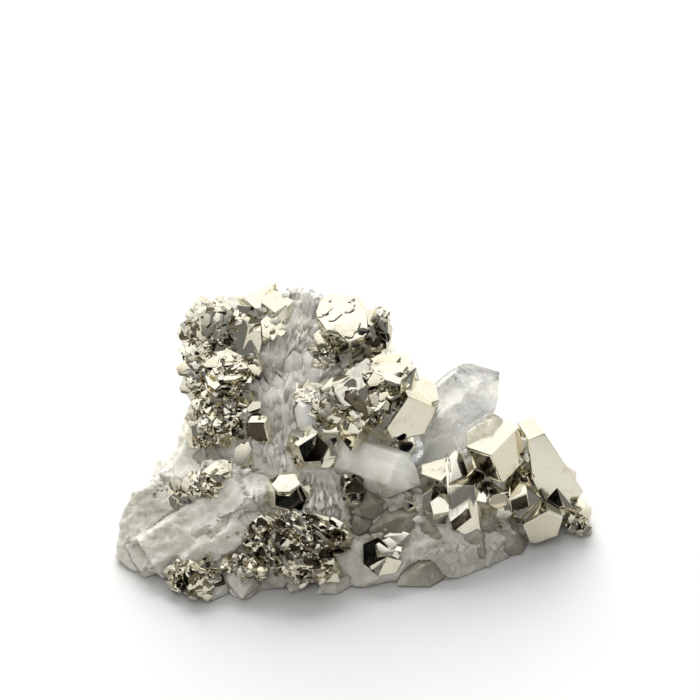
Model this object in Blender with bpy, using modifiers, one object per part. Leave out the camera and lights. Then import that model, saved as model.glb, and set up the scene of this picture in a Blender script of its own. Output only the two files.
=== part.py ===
"""Pyrite crystals grown on pale quartz: a small cluster that rests on a flat base.

Lengths are millimetres while the shapes are made, and metres in the finished objects.
A place is given as it is seen from the front, from above at VIEW_ELEVATION: across to the
right, up in the view, and near towards the eye.
"""

import math
import random

import bmesh
import bpy
from mathutils import Matrix, Vector, noise

NAME = "pyrite_in_quartz_cluster"

# Scale and view
METRE = 0.001
VIEW_ELEVATION = math.radians(40.0)
MM_PER_PIXEL = 0.11
MIDDLE_COLUMN = 353.0
MIDDLE_ROW = 444.0
BASE_CENTRE = Vector((0.3, 10.3, 0.0))

# Fits: the gap between solids, and how deep a seat lies under the slope, whose fall is taken over a step
GAP = 0.3
SEAT_DEPTH = 1.7
SEAT_STEP = 4.0

# Forms: the slope of a quartz tip, welds from wide to fine, and turns that count as flat
QUARTZ_TIP_ANGLE = math.radians(51.8)
WELDS = (0.004, 0.002, 0.001, 0.0004, 0.0001)
FACE_TURN = math.radians(1.5)
DOWN = Vector((0.0, 0.0, -1.0))

# Rough lumps: how far their planes turn, and how far out they stand
LUMP_TURN = 0.25
LUMP_REACH = (0.82, 1.08)

# Cutting: the box that a form is cut from, and how near a point counts as on the plane
BOX_SHARE = 2.5
BOX_SPARE = 1.0
FORM_TOUCH = 1e-5
BODY_TOUCH = 1e-4

# Where the front slope of the cluster meets the ground, across and up in the view
FRONT_RIM = (
    (-26.0, -14.2), (-20.0, -15.3), (-15.0, -17.2), (-10.0, -17.0), (-6.0, -16.6),
    (1.0, -15.8), (11.0, -15.0), (14.0, -14.0), (18.5, -11.6), (26.0, -9.5),
)
SLOPE_LEAN = -0.15

# How the view's across, up and near run in the world
SEEN_TO_WORLD = Matrix((
    (1.0, 0.0, 0.0),
    (0.0, math.sin(VIEW_ELEVATION), -math.cos(VIEW_ELEVATION)),
    (0.0, math.cos(VIEW_ELEVATION), math.sin(VIEW_ELEVATION)),
))


def rim_height(across):
    """Height in the view at which the front slope meets the ground."""
    for (left, low), (right, high) in zip(FRONT_RIM, FRONT_RIM[1:]):
        if across <= right:
            share = max(0.0, (across - left) / (right - left))
            return low + share * (high - low)
    return FRONT_RIM[-1][1]


def slope_near(across, up):
    """How near the general front slope lies at a place in the view."""
    rim = rim_height(across)
    return -rim / math.tan(VIEW_ELEVATION) + SLOPE_LEAN * (up - rim)


def seen_place(column, row, proud=0.0):
    """A place in the view, so much in front of the general slope."""
    across = (column - MIDDLE_COLUMN) * MM_PER_PIXEL
    up = (MIDDLE_ROW - row) * MM_PER_PIXEL
    return Vector((across, up, slope_near(across, up) + proud))


def facing(around, tilt):
    """Direction that leans by tilt away from the eye, towards the clock angle around."""
    turn = math.radians(around)
    lean = math.radians(tilt)
    return Vector((math.sin(lean) * math.cos(turn), math.sin(lean) * math.sin(turn), math.cos(lean)))


def frame_of(around, tilt, roll):
    """Rotation whose Z looks along facing(around, tilt), rolled about it."""
    basis = facing(around, tilt).to_track_quat("Z", "Y").to_matrix()
    return basis @ Matrix.Rotation(math.radians(roll), 3, "Z")


# Forms: each is a centre and the planes that bound it, as outward normals with their reach


def block(outline, around=90, tilt=0, proud=0.0, depth=3.0, draft=0, waist=None):
    """Crystal whose front face has this outline in the view; its walls run straight back.

    A draft leans the walls outwards, and waist limits how far they may spread.
    """
    places = [seen_place(column, row) for column, row in outline]
    centre = sum(places, Vector()) / len(places)
    centre.z = slope_near(centre.x, centre.y) + proud
    normal = facing(around, tilt)
    corners = []
    for place in places:
        step = Vector((place.x - centre.x, place.y - centre.y, 0.0))
        step.z = -(normal.x * step.x + normal.y * step.y) / normal.z
        corners.append(step)
    planes = [(normal, 0.0), (-normal, depth)]
    lean = math.radians(draft)
    for start, end in zip(corners, corners[1:] + corners[:1]):
        wall = normal.cross(end - start).normalized()
        if wall.dot(start) < 0:
            wall.negate()
        sloped = wall * math.cos(lean) + normal * math.sin(lean)
        planes.append((sloped, sloped.dot(start)))
        if waist is not None:
            planes.append((wall, wall.dot(start) + waist))
    return centre, planes


def cube(column, row, proud, size, around, tilt, roll=0):
    """Cube that faces along facing(around, tilt)."""
    turned = frame_of(around, tilt, roll)
    planes = []
    for axis in range(3):
        for sign in (-1, 1):
            normal = Vector((0.0, 0.0, 0.0))
            normal[axis] = sign
            planes.append((turned @ normal, size / 2))
    return seen_place(column, row, proud), planes


def pyritohedron(column, row, proud, radius, around, tilt, roll=0):
    """Twelve five-sided faces, as pyrite grows them."""
    turned = frame_of(around, tilt, roll)
    planes = []
    for first in (-1, 1):
        for second in (-2, 2):
            for pattern in ((first, second, 0), (0, first, second), (second, 0, first)):
                planes.append((turned @ Vector(pattern).normalized(), radius))
    return seen_place(column, row, proud), planes


def lump(column, row, proud, radius, seed, sides=10, flat=(1.0, 1.0, 1.0)):
    """Rough lump: a ball's worth of planes at uneven reach."""
    chance = random.Random(seed)
    planes = []
    golden = math.pi * (3.0 - math.sqrt(5.0))
    for count in range(sides):
        height = 1.0 - 2.0 * (count + 0.5) / sides
        spread = math.sqrt(1.0 - height * height)
        turn = golden * count + seed
        normal = Vector((spread * math.cos(turn), spread * math.sin(turn), height))
        normal += Vector([chance.uniform(-LUMP_TURN, LUMP_TURN) for _ in range(3)])
        normal = Vector((normal.x / flat[0], normal.y / flat[1], normal.z / flat[2])).normalized()
        size = Vector((normal.x * flat[0], normal.y * flat[1], normal.z * flat[2])).length
        planes.append((normal, radius * size * chance.uniform(*LUMP_REACH)))
    return seen_place(column, row, proud), planes


def prism(foot, tip, width, roll=0, flat=1.0, skew=0.0):
    """Six-sided quartz crystal from foot to tip, each a column, a row and how proud it stands.

    Every second tip face stands out by skew, and flat squeezes the crystal one way.
    """
    return prism_between(seen_place(*foot), seen_place(*tip), width, roll, flat, skew)


def prism_between(start, end, width, roll=0, flat=1.0, skew=0.0):
    """Planes of a six-sided quartz crystal, as seen from its tip."""
    axis = (end - start).normalized()
    side = axis.cross(Vector((0.0, 0.0, 1.0))).normalized()
    planes = [(-axis, (end - start).length)]
    for count in range(6):
        turn = math.radians(roll + 60.0 * count)
        normal = Matrix.Rotation(turn, 3, axis) @ side
        squeeze = flat if count % 3 == 1 else 1.0
        planes.append((normal, width / 2 * squeeze))
        slope = normal * math.sin(QUARTZ_TIP_ANGLE) + axis * math.cos(QUARTZ_TIP_ANGLE)
        planes.append((slope, skew if count % 2 else 0.0))
    return end, planes


# Pyrite: what each solid is made of. Outlines are columns and rows of the corners.

PYRITE = {
    "pyrite_cubes_right": [
        block([(466, 447), (465, 433), (493, 412), (517, 428), (491, 455)], 112, 50, 3.6, 4.4),
        block([(528, 440), (544, 433), (584, 492), (578, 502), (567, 518), (546, 506), (533, 480)],
              302, 31, 3.0, 4.4),
        block([(548, 510), (563, 517), (558, 536), (537, 544), (530, 543), (523, 525)], 285, 31, 2.2, 4.2),
        lump(577, 514, 0.2, 1.35, 3),
        lump(578, 529, -0.1, 1.3, 4),
        block([(502, 490), (514, 478), (526, 483), (527, 493), (509, 500)], 100, 42, 3.6, 2.3),
        block([(476, 456), (491, 462), (503, 483), (496, 488), (481, 472)], 250, 35, 1.4, 3.0),
        block([(469, 477), (477, 475), (482, 483), (476, 486), (470, 482)], 80, 40, 1.9, 2.2),
        block([(472, 494), (478, 488), (487, 485), (489, 494), (485, 502), (475, 500)], 100, 40, 2.9, 2.8),
        block([(487, 487), (498, 489), (499, 500), (488, 506)], 350, 32, 2.6, 2.6),
        block([(420, 464), (448, 456), (450, 470), (441, 481), (421, 474)], 112, 38, 2.5, 3.4),
        block([(448, 457), (455, 449), (462, 455), (468, 474), (449, 483)], 55, 38, 2.4, 3.4),
        block([(436, 490), (443, 482), (450, 484), (451, 494), (440, 497)], 180, 25, 2.1, 2.6),
        block([(448, 483), (467, 480), (468, 495), (453, 499)], 285, 7, 2.1, 2.8),
        block([(446, 511), (454, 499), (469, 497), (468, 508), (450, 521)], 110, 33, 3.0, 3.0),
        block([(450, 520), (467, 508), (465, 521), (455, 526)], 290, 29, 2.9, 2.4),
        block([(430, 502), (440, 494), (450, 497), (449, 511), (433, 514)], 95, 32, 2.4, 3.2),
        block([(423, 515), (434, 507), (448, 511), (445, 524), (429, 525)], 200, 18, 2.0, 3.0),
        block([(497, 508), (506, 504), (512, 514), (503, 521), (496, 517)], 80, 25, 2.4, 2.6),
        lump(510, 458, -0.4, 2.6, 21, 8),
        lump(487, 497, -0.2, 2.6, 22, 8),
        lump(545, 486, -0.6, 3.2, 23, 8),
        lump(462, 497, -0.3, 2.9, 24, 8),
        lump(440, 500, -0.6, 2.4, 25, 8),
        lump(516, 500, -0.4, 2.4, 26, 8),
    ],
    "pyrite_crystals_upper_right": [
        block([(323, 300), (328, 294), (358, 295), (366, 308), (368, 335), (350, 342), (333, 337),
               (318, 322), (316, 311)], 100, 38, 2.0, 5.5),
        block([(364, 308), (388, 313), (391, 321), (369, 337)], 60, 38, 1.2, 4.5),
        block([(367, 337), (388, 319), (388, 336), (378, 353), (362, 350)], 310, 9, 1.4, 4.0),
        block([(386, 318), (393, 327), (391, 343), (384, 358), (375, 353)], 340, 52, 0.6, 3.0),
        lump(365, 345, 0.4, 1.4, 31),
        lump(381, 316, 0.8, 0.9, 32),
        block([(313, 335), (319, 329), (328, 334), (328, 343), (318, 345)], 100, 35, 1.5, 2.4),
        block([(319, 346), (329, 342), (333, 350), (323, 355)], 300, 31, 1.3, 2.2),
        block([(310, 359), (322, 358), (325, 365), (314, 366)], 95, 36, 1.1, 2.2),
        block([(326, 357), (338, 353), (341, 362), (329, 367)], 75, 36, 1.3, 2.4),
        cube(331, 349, 0.3, 1.7, 100, 40, 20),
        cube(322, 352, 0.0, 2.0, 40, 25, 10),
        lump(325, 358, -0.5, 1.7, 41, 8),
    ],
    "pyrite_mass_centre": [
        block([(352, 361), (366, 358), (407, 366), (416, 368), (411, 387), (384, 430), (372, 424),
               (341, 400), (337, 378)], 110, 22, 2.6, 5.0),
        block([(353, 361), (385, 360), (405, 368), (398, 381), (366, 379), (350, 369)], 100, 48, 3.0, 3.0),
        block([(366, 380), (380, 377), (384, 404), (374, 420), (362, 404)], 160, 30, 3.5, 3.0),
        block([(385, 377), (404, 372), (396, 395), (384, 414), (380, 400)], 200, 22, 3.5, 3.0),
        block([(409, 371), (417, 367), (415, 381), (404, 392)], 330, 38, 2.8, 3.0),
        block([(408, 396), (436, 408), (425, 434), (393, 441), (387, 428)], 300, 33, 3.1, 4.4),
        block([(412, 384), (424, 377), (436, 384), (439, 400), (425, 404), (411, 396)], 80, 40, 1.9, 3.6),
        block([(322, 420), (333, 412), (343, 416), (338, 424)], 240, 20, 2.2, 2.4),
        block([(322, 428), (338, 421), (346, 426), (338, 433), (324, 433)], 100, 34, 2.0, 2.4),
        lump(358, 405, 0.6, 3.0, 51, 8),
        lump(380, 425, -0.6, 2.8, 52, 8),
        lump(330, 405, 0.0, 2.4, 53),
        lump(305, 398, -0.2, 1.5, 54),
        lump(400, 446, -0.4, 1.8, 55),
        cube(300, 394, 0.8, 1.6, 120, 30, 20),
        cube(310, 399, 1.1, 1.7, 60, 35, 10),
        cube(333, 392, 1.8, 2.0, 80, 30, 60),
        cube(317, 409, 1.2, 1.6, 300, 25, 30),
        cube(345, 410, 2.5, 1.8, 20, 30, 50),
    ],
    "pyritohedron_centre": [
        pyritohedron(309, 448, 1.0, 2.15, 100, 22, 25),
        block([(306, 438), (312, 428), (318, 431), (314, 444)], 140, 30, 3.1, 2.4),
        block([(292, 457), (306, 455), (312, 463), (300, 469)], 280, 24, 2.0, 2.4),
        cube(300, 440, 1.5, 1.9, 150, 35, 20),
        cube(324, 447, 1.4, 2.2, 340, 30, 30),
        cube(326, 458, 0.9, 1.6, 300, 30, 60),
    ],
    "pyritohedron_front": [
        pyritohedron(287, 494, 1.4, 2.1, 98, 20, 3),
        block([(272, 484), (280, 474), (295, 473), (301, 483), (290, 491), (278, 491)], 95, 38, 3.5, 2.4),
        block([(280, 490), (301, 485), (307, 497), (302, 510), (288, 516), (279, 504)], 272, 6, 3.1, 3.4),
        block([(264, 497), (275, 493), (279, 508), (268, 511)], 230, 30, 1.6, 2.4),
        cube(300, 492, 1.2, 2.0, 350, 45, 15),
    ],
    "pyrite_tooth": [
        block([(237, 443), (249, 441), (252, 449), (245, 464), (237, 466), (234, 455)], 110, 26, 1.7, 2.6),
        block([(236, 465), (246, 462), (251, 470), (241, 476)], 280, 35, 1.1, 2.2),
        cube(249, 455, 0.2, 1.7, 350, 40, 20),
    ],
    "pyrite_vein_left": [
        block([(203, 470), (214, 465), (221, 468), (217, 475), (206, 476)], 100, 35, 2.2, 2.4),
        lump(224, 473, 0.5, 1.2, 71),
        lump(211, 480, 0.5, 1.4, 72),
        lump(198, 486, 0.6, 1.3, 73),
        lump(185, 493, 0.5, 1.2, 74),
        lump(213, 488, 0.7, 1.1, 75),
        cube(226, 467, 1.3, 1.2, 60, 35, 20),
        cube(190, 488, 1.5, 1.1, 80, 30, 60),
        cube(178, 498, 0.9, 1.1, 150, 35, 40),
    ],
    "pyrite_mass_upper_left": [
        block([(246, 303), (259, 290), (274, 282), (283, 284), (282, 291), (263, 297), (255, 306)],
              112, 48, 0.4, 3.4),
        block([(263, 297), (281, 294), (287, 305), (275, 313), (262, 303)], 65, 40, 1.9, 3.0),
        block([(235, 309), (241, 305), (247, 305), (249, 311), (240, 313)], 90, 42, 1.5, 2.6),
        block([(237, 349), (239, 341), (253, 331), (261, 331), (262, 342), (259, 356), (247, 360)],
              265, 31, 2.3, 4.0),
        block([(261, 321), (266, 316), (276, 316), (289, 332), (280, 335), (270, 341), (263, 336)],
              62, 39, 2.9, 2.8, -14),
        block([(238, 318), (251, 311), (262, 316), (262, 330), (247, 334), (238, 330)], 60, 20, 1.5, 3.0),
        block([(216, 327), (229, 321), (238, 324), (236, 332), (222, 336)], 100, 36, 1.5, 3.0),
        block([(213, 340), (226, 336), (233, 341), (226, 350), (214, 349)], 110, 34, 1.2, 3.0),
        lump(214, 324, 0.4, 2.3, 81, 14),
        lump(232, 315, 0.0, 1.9, 82, 12),
        lump(198, 337, -0.2, 1.5, 83),
        lump(199, 351, -0.1, 1.4, 84),
        lump(199, 367, 0.2, 1.6, 85),
        lump(201, 383, 0.2, 1.4, 86),
        lump(222, 366, 0.9, 1.9, 87, 12),
        lump(236, 376, 0.9, 1.8, 88, 12),
        lump(245, 360, 0.0, 2.4, 90, 8),
        lump(240, 335, -0.9, 3.4, 91, 8),
        lump(215, 352, -1.0, 2.6, 92, 8),
        lump(268, 312, -0.8, 2.4, 93, 8),
        cube(229, 364, 2.4, 1.4, 60, 30, 60),
        cube(238, 369, 2.3, 1.3, 130, 35, 10),
        cube(221, 373, 2.4, 1.5, 250, 25, 40),
        cube(232, 380, 2.2, 1.4, 300, 30, 20),
        cube(218, 388, 1.7, 1.3, 200, 30, 30),
        cube(205, 330, 1.6, 1.5, 140, 30, 20),
        cube(195, 345, 0.9, 1.3, 170, 35, 50),
        cube(194, 374, 1.0, 1.2, 190, 35, 30),
        block([(247, 417), (257, 411), (268, 417), (265, 423), (249, 423)], 95, 46, 2.5, 2.6, 12, 0.5),
        block([(247, 408), (253, 401), (261, 401), (261, 408), (249, 412)], 110, 30, 2.3, 2.4),
        pyritohedron(257, 427, 0.4, 1.45, 90, 20, 10),
        lump(204, 413, 0.0, 1.5, 61),
        lump(203, 434, 0.0, 1.6, 62),
        lump(212, 405, 0.2, 1.5, 63),
        lump(231, 418, 0.2, 1.7, 64),
        lump(236, 431, 0.0, 1.4, 65),
        lump(222, 427, -0.8, 2.3, 66, 8),
        cube(230, 398, 0.9, 1.5, 100, 35, 20),
        cube(251, 397, 0.7, 1.2, 140, 30, 30),
        cube(222, 411, 1.0, 1.5, 200, 30, 10),
        cube(244, 410, 1.0, 1.4, 80, 35, 70),
        cube(209, 424, 1.0, 1.6, 130, 30, 20),
        lump(238, 405, -0.9, 1.7, 68, 8),
    ],
    "pyrite_mass_front": [
        lump(283, 530, 0.6, 2.6, 101, 12),
        lump(305, 540, 0.7, 2.9, 102, 12),
        lump(325, 537, 0.5, 2.4, 103, 12),
        lump(266, 536, 0.3, 2.3, 104),
        lump(300, 562, 0.2, 2.2, 105),
        lump(322, 564, 0.1, 2.2, 106),
        lump(280, 553, 0.4, 2.1, 107),
        block([(253, 549), (263, 542), (282, 551), (302, 566), (300, 576), (276, 568)], 250, 26, 2.2, 2.6),
        block([(283, 569), (292, 565), (305, 573), (299, 583), (287, 580)], 240, 20, 1.6, 2.4),
        cube(262, 526, 2.4, 1.6, 110, 35, 20),
        cube(291, 520, 2.7, 1.6, 100, 30, 10),
        cube(306, 527, 3.2, 1.7, 130, 30, 40),
        cube(320, 524, 2.9, 1.6, 60, 35, 20),
        cube(334, 527, 2.2, 1.5, 80, 30, 70),
        cube(287, 540, 3.4, 1.8, 300, 25, 20),
        cube(318, 540, 3.4, 1.7, 20, 30, 10),
        cube(293, 556, 2.7, 1.7, 270, 30, 30),
        cube(309, 558, 2.7, 1.7, 220, 30, 20),
        cube(325, 561, 2.4, 1.6, 310, 30, 50),
    ],
    "pyrite_lump_front_left": [
        lump(184, 576, 0.6, 1.6, 111),
        lump(199, 576, 0.8, 1.8, 112),
        lump(208, 571, 0.4, 1.3, 113),
        cube(190, 569, 2.1, 1.4, 110, 35, 30),
        cube(178, 582, 1.3, 1.2, 230, 30, 60),
    ],
    "pyrite_grains_front": [
        lump(236, 562, 0.6, 1.1, 121),
        lump(249, 566, 0.6, 1.2, 122),
        lump(260, 571, 0.5, 1.0, 123),
        cube(255, 561, 1.2, 1.1, 60, 35, 50),
    ],
    "pyrite_cube_front": [
        block([(363, 543), (378, 536), (388, 545), (385, 562), (371, 569), (363, 563)], 272, 5, 2.4, 3.6),
        block([(376, 543), (389, 536), (398, 542), (393, 553), (380, 553)], 50, 32, 2.6, 3.0),
        block([(370, 566), (387, 556), (402, 560), (396, 572), (378, 575)], 300, 26, 1.9, 3.0),
        block([(383, 536), (396, 528), (410, 533), (404, 545), (390, 543)], 95, 22, 1.9, 2.6),
        lump(384, 552, 0.5, 1.8, 137, 8),
    ],
    "pyrite_dark_round": [
        lump(352, 490, 0.6, 1.7, 131, 18, (0.75, 1.15, 1.0)),
    ],
    "pyrite_bead": [
        lump(408, 505, 1.0, 0.95, 141, 20),
    ],
}

# Quartz crystals: foot and tip as column, row and how proud, then the width

CLEAR_CRYSTAL = prism((400, 458, -2.6), (500, 372, 1.4), 6.9, 8, 0.9, 1.1)

QUARTZ_CRYSTALS = [
    prism((150, 556, 0.2), (270, 476, 1.1), 5.0, 12, 0.8, 0.5),
    prism((180, 572, -0.6), (250, 516, 1.0), 4.4, 40, 0.9),
    prism((176, 548, -1.0), (142, 570, 1.3), 2.4, 10),
    prism((330, 452, -1.6), (420, 483, 2.0), 5.2, 18, 0.85, 0.6),
    prism((300, 390, -3.2), (298, 337, 0.6), 4.6, 15),
    prism((286, 470, -2.8), (270, 372, 0.5), 4.4, 25, 0.9),
    prism((312, 470, -2.6), (296, 376, 0.2), 4.6, 5),
    prism((255, 474, -2.4), (262, 425, 0.4), 3.4, 20),
    prism((300, 320, -3.0), (303, 284, -0.2), 2.6, 10),
    prism((305, 330, -2.6), (322, 290, -0.4), 2.2, 30),
    prism((292, 320, -2.8), (289, 284, -0.6), 2.2, 22),
    prism((318, 345, -2.4), (336, 330, 0.4), 2.0, 8),
    prism((352, 352, -2.8), (366, 345, 0.9), 2.6, 20),
    prism((208, 440, -2.4), (226, 402, 0.7), 3.4, 12),
    prism((214, 466, -2.6), (206, 438, 0.6), 3.2, 33),
    prism((243, 560, -1.6), (244, 607, -0.2), 3.2, 12),
    prism((222, 572, -1.8), (212, 606, -0.3), 2.6, 28),
    prism((237, 548, -1.2), (256, 580, 0.3), 2.4, 15),
    prism((330, 470, -2.0), (318, 512, 1.2), 2.8, 14),
    prism((336, 474, -2.0), (340, 520, 1.3), 2.4, 38),
    prism((420, 520, -1.8), (374, 532, 1.3), 4.0, 20),
    prism((430, 530, -1.6), (352, 560, 0.7), 4.6, 36, 0.9),
    prism((440, 560, -1.8), (398, 584, 0.4), 4.0, 10),
    prism((402, 490, -1.2), (430, 476, 1.7), 2.4, 25),
    prism((470, 530, -1.6), (500, 508, 1.0), 3.0, 16),
    prism((465, 545, -1.2), (437, 528, 1.6), 2.8, 30),
    prism((452, 520, -1.8), (484, 556, 0.9), 3.2, 12),
    prism((520, 560, -1.8), (497, 528, 0.8), 2.8, 20),
    prism((345, 580, -1.4), (318, 594, 0.2), 2.6, 8),
    prism((152, 520, -2.6), (133, 488, -0.3), 3.2, 18),
]

# Quartz crystals at the back: foot and tip in the world, then width and roll
BACK_CRYSTALS = [
    ((-9.0, 0.0, 9.0), (-12.5, 7.0, 15.0), 4.0, 10),
    ((-4.0, 0.0, 8.0), (-3.0, 8.5, 12.5), 3.6, 25),
    ((-12.0, 0.0, 5.0), (-17.5, 6.0, 7.5), 3.4, 5),
    ((2.0, 0.0, 4.0), (5.5, 6.0, 6.0), 3.2, 18),
    ((9.0, -3.0, 3.0), (13.5, 2.5, 6.0), 2.8, 30),
]

# Rough quartz: lumps along the slope, as column, row, how proud, radius and flattening

ROUGH_LUMPS = [
    (143, 550, -1.9, 2.5), (142, 522, -2.3, 2.4), (152, 502, -2.5, 2.5), (164, 530, -2.4, 3.0),
    (175, 494, -2.9, 2.8), (195, 520, -2.8, 3.4), (198, 558, -2.6, 3.0), (222, 552, -2.6, 3.4),
    (190, 470, -2.9, 2.6), (215, 590, -1.5, 1.6), (262, 575, -2.2, 2.8), (205, 440, -2.6, 3.0),
    (225, 475, -2.6, 3.2), (250, 510, -2.4, 3.4), (255, 450, -2.6, 3.6), (225, 410, -3.0, 3.4),
    (215, 370, -3.4, 3.4), (235, 340, -3.6, 4.0), (260, 320, -3.2, 3.0), (275, 355, -2.6, 3.6),
    (295, 320, -3.0, 2.8), (300, 360, -2.4, 3.4), (330, 330, -3.4, 3.4), (355, 330, -3.8, 3.2),
    (290, 410, -2.4, 4.0), (330, 380, -3.0, 3.8), (370, 375, -3.4, 3.6), (330, 440, -2.8, 4.2),
    (285, 460, -2.4, 3.8), (370, 430, -3.0, 4.4), (330, 500, -2.4, 4.0), (290, 515, -2.8, 3.8),
    (375, 500, -2.4, 4.2), (410, 450, -3.4, 4.0), (420, 500, -2.8, 4.0), (330, 560, -2.6, 3.6),
    (300, 575, -2.6, 2.8), (375, 555, -2.2, 3.8), (365, 580, -1.8, 2.2), (420, 545, -2.0, 3.8),
    (410, 572, -1.6, 2.4), (455, 545, -1.8, 3.4), (450, 575, -1.6, 2.2), (465, 500, -3.0, 3.8),
    (490, 540, -1.9, 3.0), (480, 562, -1.4, 1.9), (450, 465, -3.4, 3.6), (505, 480, -3.2, 3.8),
    (510, 545, -1.7, 2.2), (535, 510, -3.0, 3.2), (550, 530, -2.6, 2.4), (485, 440, -3.6, 3.0),
    (540, 470, -3.4, 2.8), (566, 515, -2.8, 2.0), (129, 561, -0.8, 1.5),
]

# Inner wedges of the rough quartz: corners in the world before the base is centred

WEDGE_LEFT = [
    (-23.0, -20.5, 0), (-18.5, -24.0, 0), (-12.0, -25.0, 0), (-5.0, -24.0, 0), (5.0, -22.5, 0),
    (10.0, -14.0, 0), (8.0, 2.0, 0), (-3.0, 5.5, 0), (-13.0, 3.5, 0), (-18.0, -4.0, 0), (-21.0, -13.0, 0),
    (-20.5, -17.0, 4.4), (-16.0, -8.0, 11.5), (-14.5, -3.0, 15.5), (-9.5, -2.0, 18.0), (-2.0, -1.5, 17.5),
    (2.0, -2.0, 15.0), (0.0, 2.0, 13.5), (-8.0, 3.0, 14.5), (5.0, -12.0, 8.0), (4.0, -19.0, 3.0),
]
WEDGE_RIGHT = [
    (2.0, -21.5, 0), (12.0, -19.0, 0), (19.0, -15.5, 0), (23.5, -13.0, 0), (23.8, -11.0, 0),
    (19.5, -5.5, 0), (13.0, -0.5, 0), (4.0, 3.0, 0), (2.0, -3.0, 12.0), (8.0, -6.0, 8.0),
    (15.0, -9.0, 5.6), (21.0, -11.0, 3.6), (4.0, -12.0, 8.4), (13.0, -15.0, 4.0),
]

# Rough quartz at the back: places in the world and radii
BACK_LUMPS = [
    (-16.0, -4.0, 5.0, 3.6), (-12.0, 1.5, 4.5, 4.4), (-10.0, 0.5, 11.0, 4.2), (-4.0, 3.0, 6.5, 4.4),
    (-2.5, 1.0, 12.5, 3.8), (3.0, 0.5, 5.0, 4.2), (9.0, -1.5, 3.4, 3.6), (15.0, -3.6, 2.2, 2.9),
    (-19.0, -11.0, 4.0, 3.2), (19.5, -7.2, 1.6, 2.2), (-16.5, -1.0, 2.0, 2.8), (-6.0, -0.5, 15.0, 3.0),
]

# Rough quartz: sides and first seed of its lumps, then how it is melted and roughened
FRONT_SIDES = 12
FRONT_SEED = 200
BACK_SIDES = 13
BACK_SEED = 300
ROUGH_VOXEL = 0.62
ROUGH_FACES = 500
RIDGE_SIZE = 1.6
RIDGE_DEPTH = 0.55
RIDGE_FADE = 1.0
RIDGE_STEP = 2.0
RIDGE_LAYERS = 2
RIDGE_LEVEL = 1.0
RIDGE_GAIN = 2.0

# Finishes: colour, metallic and roughness
PYRITE_FINISH = ((0.78, 0.69, 0.47), 1.0, 0.3)
QUARTZ_FINISH = ((0.82, 0.83, 0.84), 0.0, 0.35)
CLEAR_FINISH = ((0.95, 0.96, 0.97), 0.0, 0.05)


# Mesh tools


def convex_mesh(planes, grow=0.0):
    """Mesh of the space inside all planes, by cutting a box; grow moves every plane out."""
    reach = BOX_SHARE * max(distance + grow for _, distance in planes) + BOX_SPARE
    bm = bmesh.new()
    bmesh.ops.create_cube(bm, size=2.0 * reach)
    for normal, distance in planes:
        everything = bm.verts[:] + bm.edges[:] + bm.faces[:]
        place = normal * (distance + grow)
        cut = bmesh.ops.bisect_plane(
            bm, geom=everything, dist=FORM_TOUCH, plane_co=place, plane_no=normal, clear_outer=True)
        rim = [part for part in cut["geom_cut"] if isinstance(part, bmesh.types.BMEdge)]
        if len(rim) > 2:
            bmesh.ops.contextual_create(bm, geom=rim)
    bmesh.ops.remove_doubles(bm, verts=bm.verts, dist=WELDS[0])
    bmesh.ops.recalc_face_normals(bm, faces=bm.faces)
    mesh = bpy.data.meshes.new("form")
    bm.to_mesh(mesh)
    bm.free()
    return mesh


def object_of(mesh, name, collection):
    """New object that shows a mesh, in a collection."""
    thing = bpy.data.objects.new(name, mesh)
    collection.objects.link(thing)
    return thing


def form_object(form, name, collection, grow=0.0):
    """Object for one form, with its place in its mesh, in world millimetres."""
    centre, planes = form
    mesh = convex_mesh(planes, grow)
    mesh.transform((SEEN_TO_WORLD.to_4x4() @ Matrix.Translation(centre)))
    return object_of(mesh, name, collection)


def bake_modifiers(thing):
    """Replace an object's mesh by what its modifiers make of it."""
    bpy.context.view_layer.update()
    graph = bpy.context.evaluated_depsgraph_get()
    mesh = bpy.data.meshes.new_from_object(thing.evaluated_get(graph))
    thing.modifiers.clear()
    thing.data = mesh


def boolean(thing, others, operation):
    """Join or cut an object with a list of others, exactly."""
    group = bpy.data.collections.new("operands")
    for other in others:
        group.objects.link(other)
    modifier = thing.modifiers.new("boolean", "BOOLEAN")
    modifier.operation = operation
    modifier.solver = "EXACT"
    modifier.operand_type = "COLLECTION"
    modifier.collection = group
    bake_modifiers(thing)
    bpy.data.collections.remove(group)


def union_of(forms, name, collection, scratch, grow=0.0):
    """One object from overlapping forms."""
    first = form_object(forms[0], name, collection, grow)
    others = [form_object(form, name + "_part", scratch, grow) for form in forms[1:]]
    if others:
        boolean(first, others, "UNION")
    for other in others:
        bpy.data.objects.remove(other)
    return first


def islands(bm):
    """Faces of each connected body."""
    waiting = set(bm.faces)
    bodies = []
    while waiting:
        seed = waiting.pop()
        body = {seed}
        reached = [seed]
        while reached:
            face = reached.pop()
            for edge in face.edges:
                for near in edge.link_faces:
                    if near in waiting:
                        waiting.discard(near)
                        body.add(near)
                        reached.append(near)
        bodies.append(body)
    return bodies


def tidy_body(thing):
    """Keep the largest body, in triangles, welded as widely as leaves every edge two faces."""
    for weld in WELDS:
        bm = bmesh.new()
        bm.from_mesh(thing.data)
        bmesh.ops.remove_doubles(bm, verts=bm.verts, dist=weld)
        bmesh.ops.dissolve_degenerate(bm, edges=bm.edges, dist=weld)
        bodies = sorted(islands(bm), key=lambda body: sum(face.calc_area() for face in body))
        for body in bodies[:-1]:
            bmesh.ops.delete(bm, geom=list(body), context="FACES")
        loose = [vert for vert in bm.verts if not vert.link_faces]
        bmesh.ops.delete(bm, geom=loose, context="VERTS")
        bmesh.ops.dissolve_limit(
            bm, angle_limit=FACE_TURN, verts=bm.verts, edges=bm.edges, use_dissolve_boundaries=False)
        bmesh.ops.triangulate(bm, faces=bm.faces, quad_method="BEAUTY", ngon_method="BEAUTY")
        closed = all(len(edge.link_faces) == 2 for edge in bm.edges)
        if closed or weld == WELDS[-1]:
            bm.to_mesh(thing.data)
        bm.free()
        if closed:
            return


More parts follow.
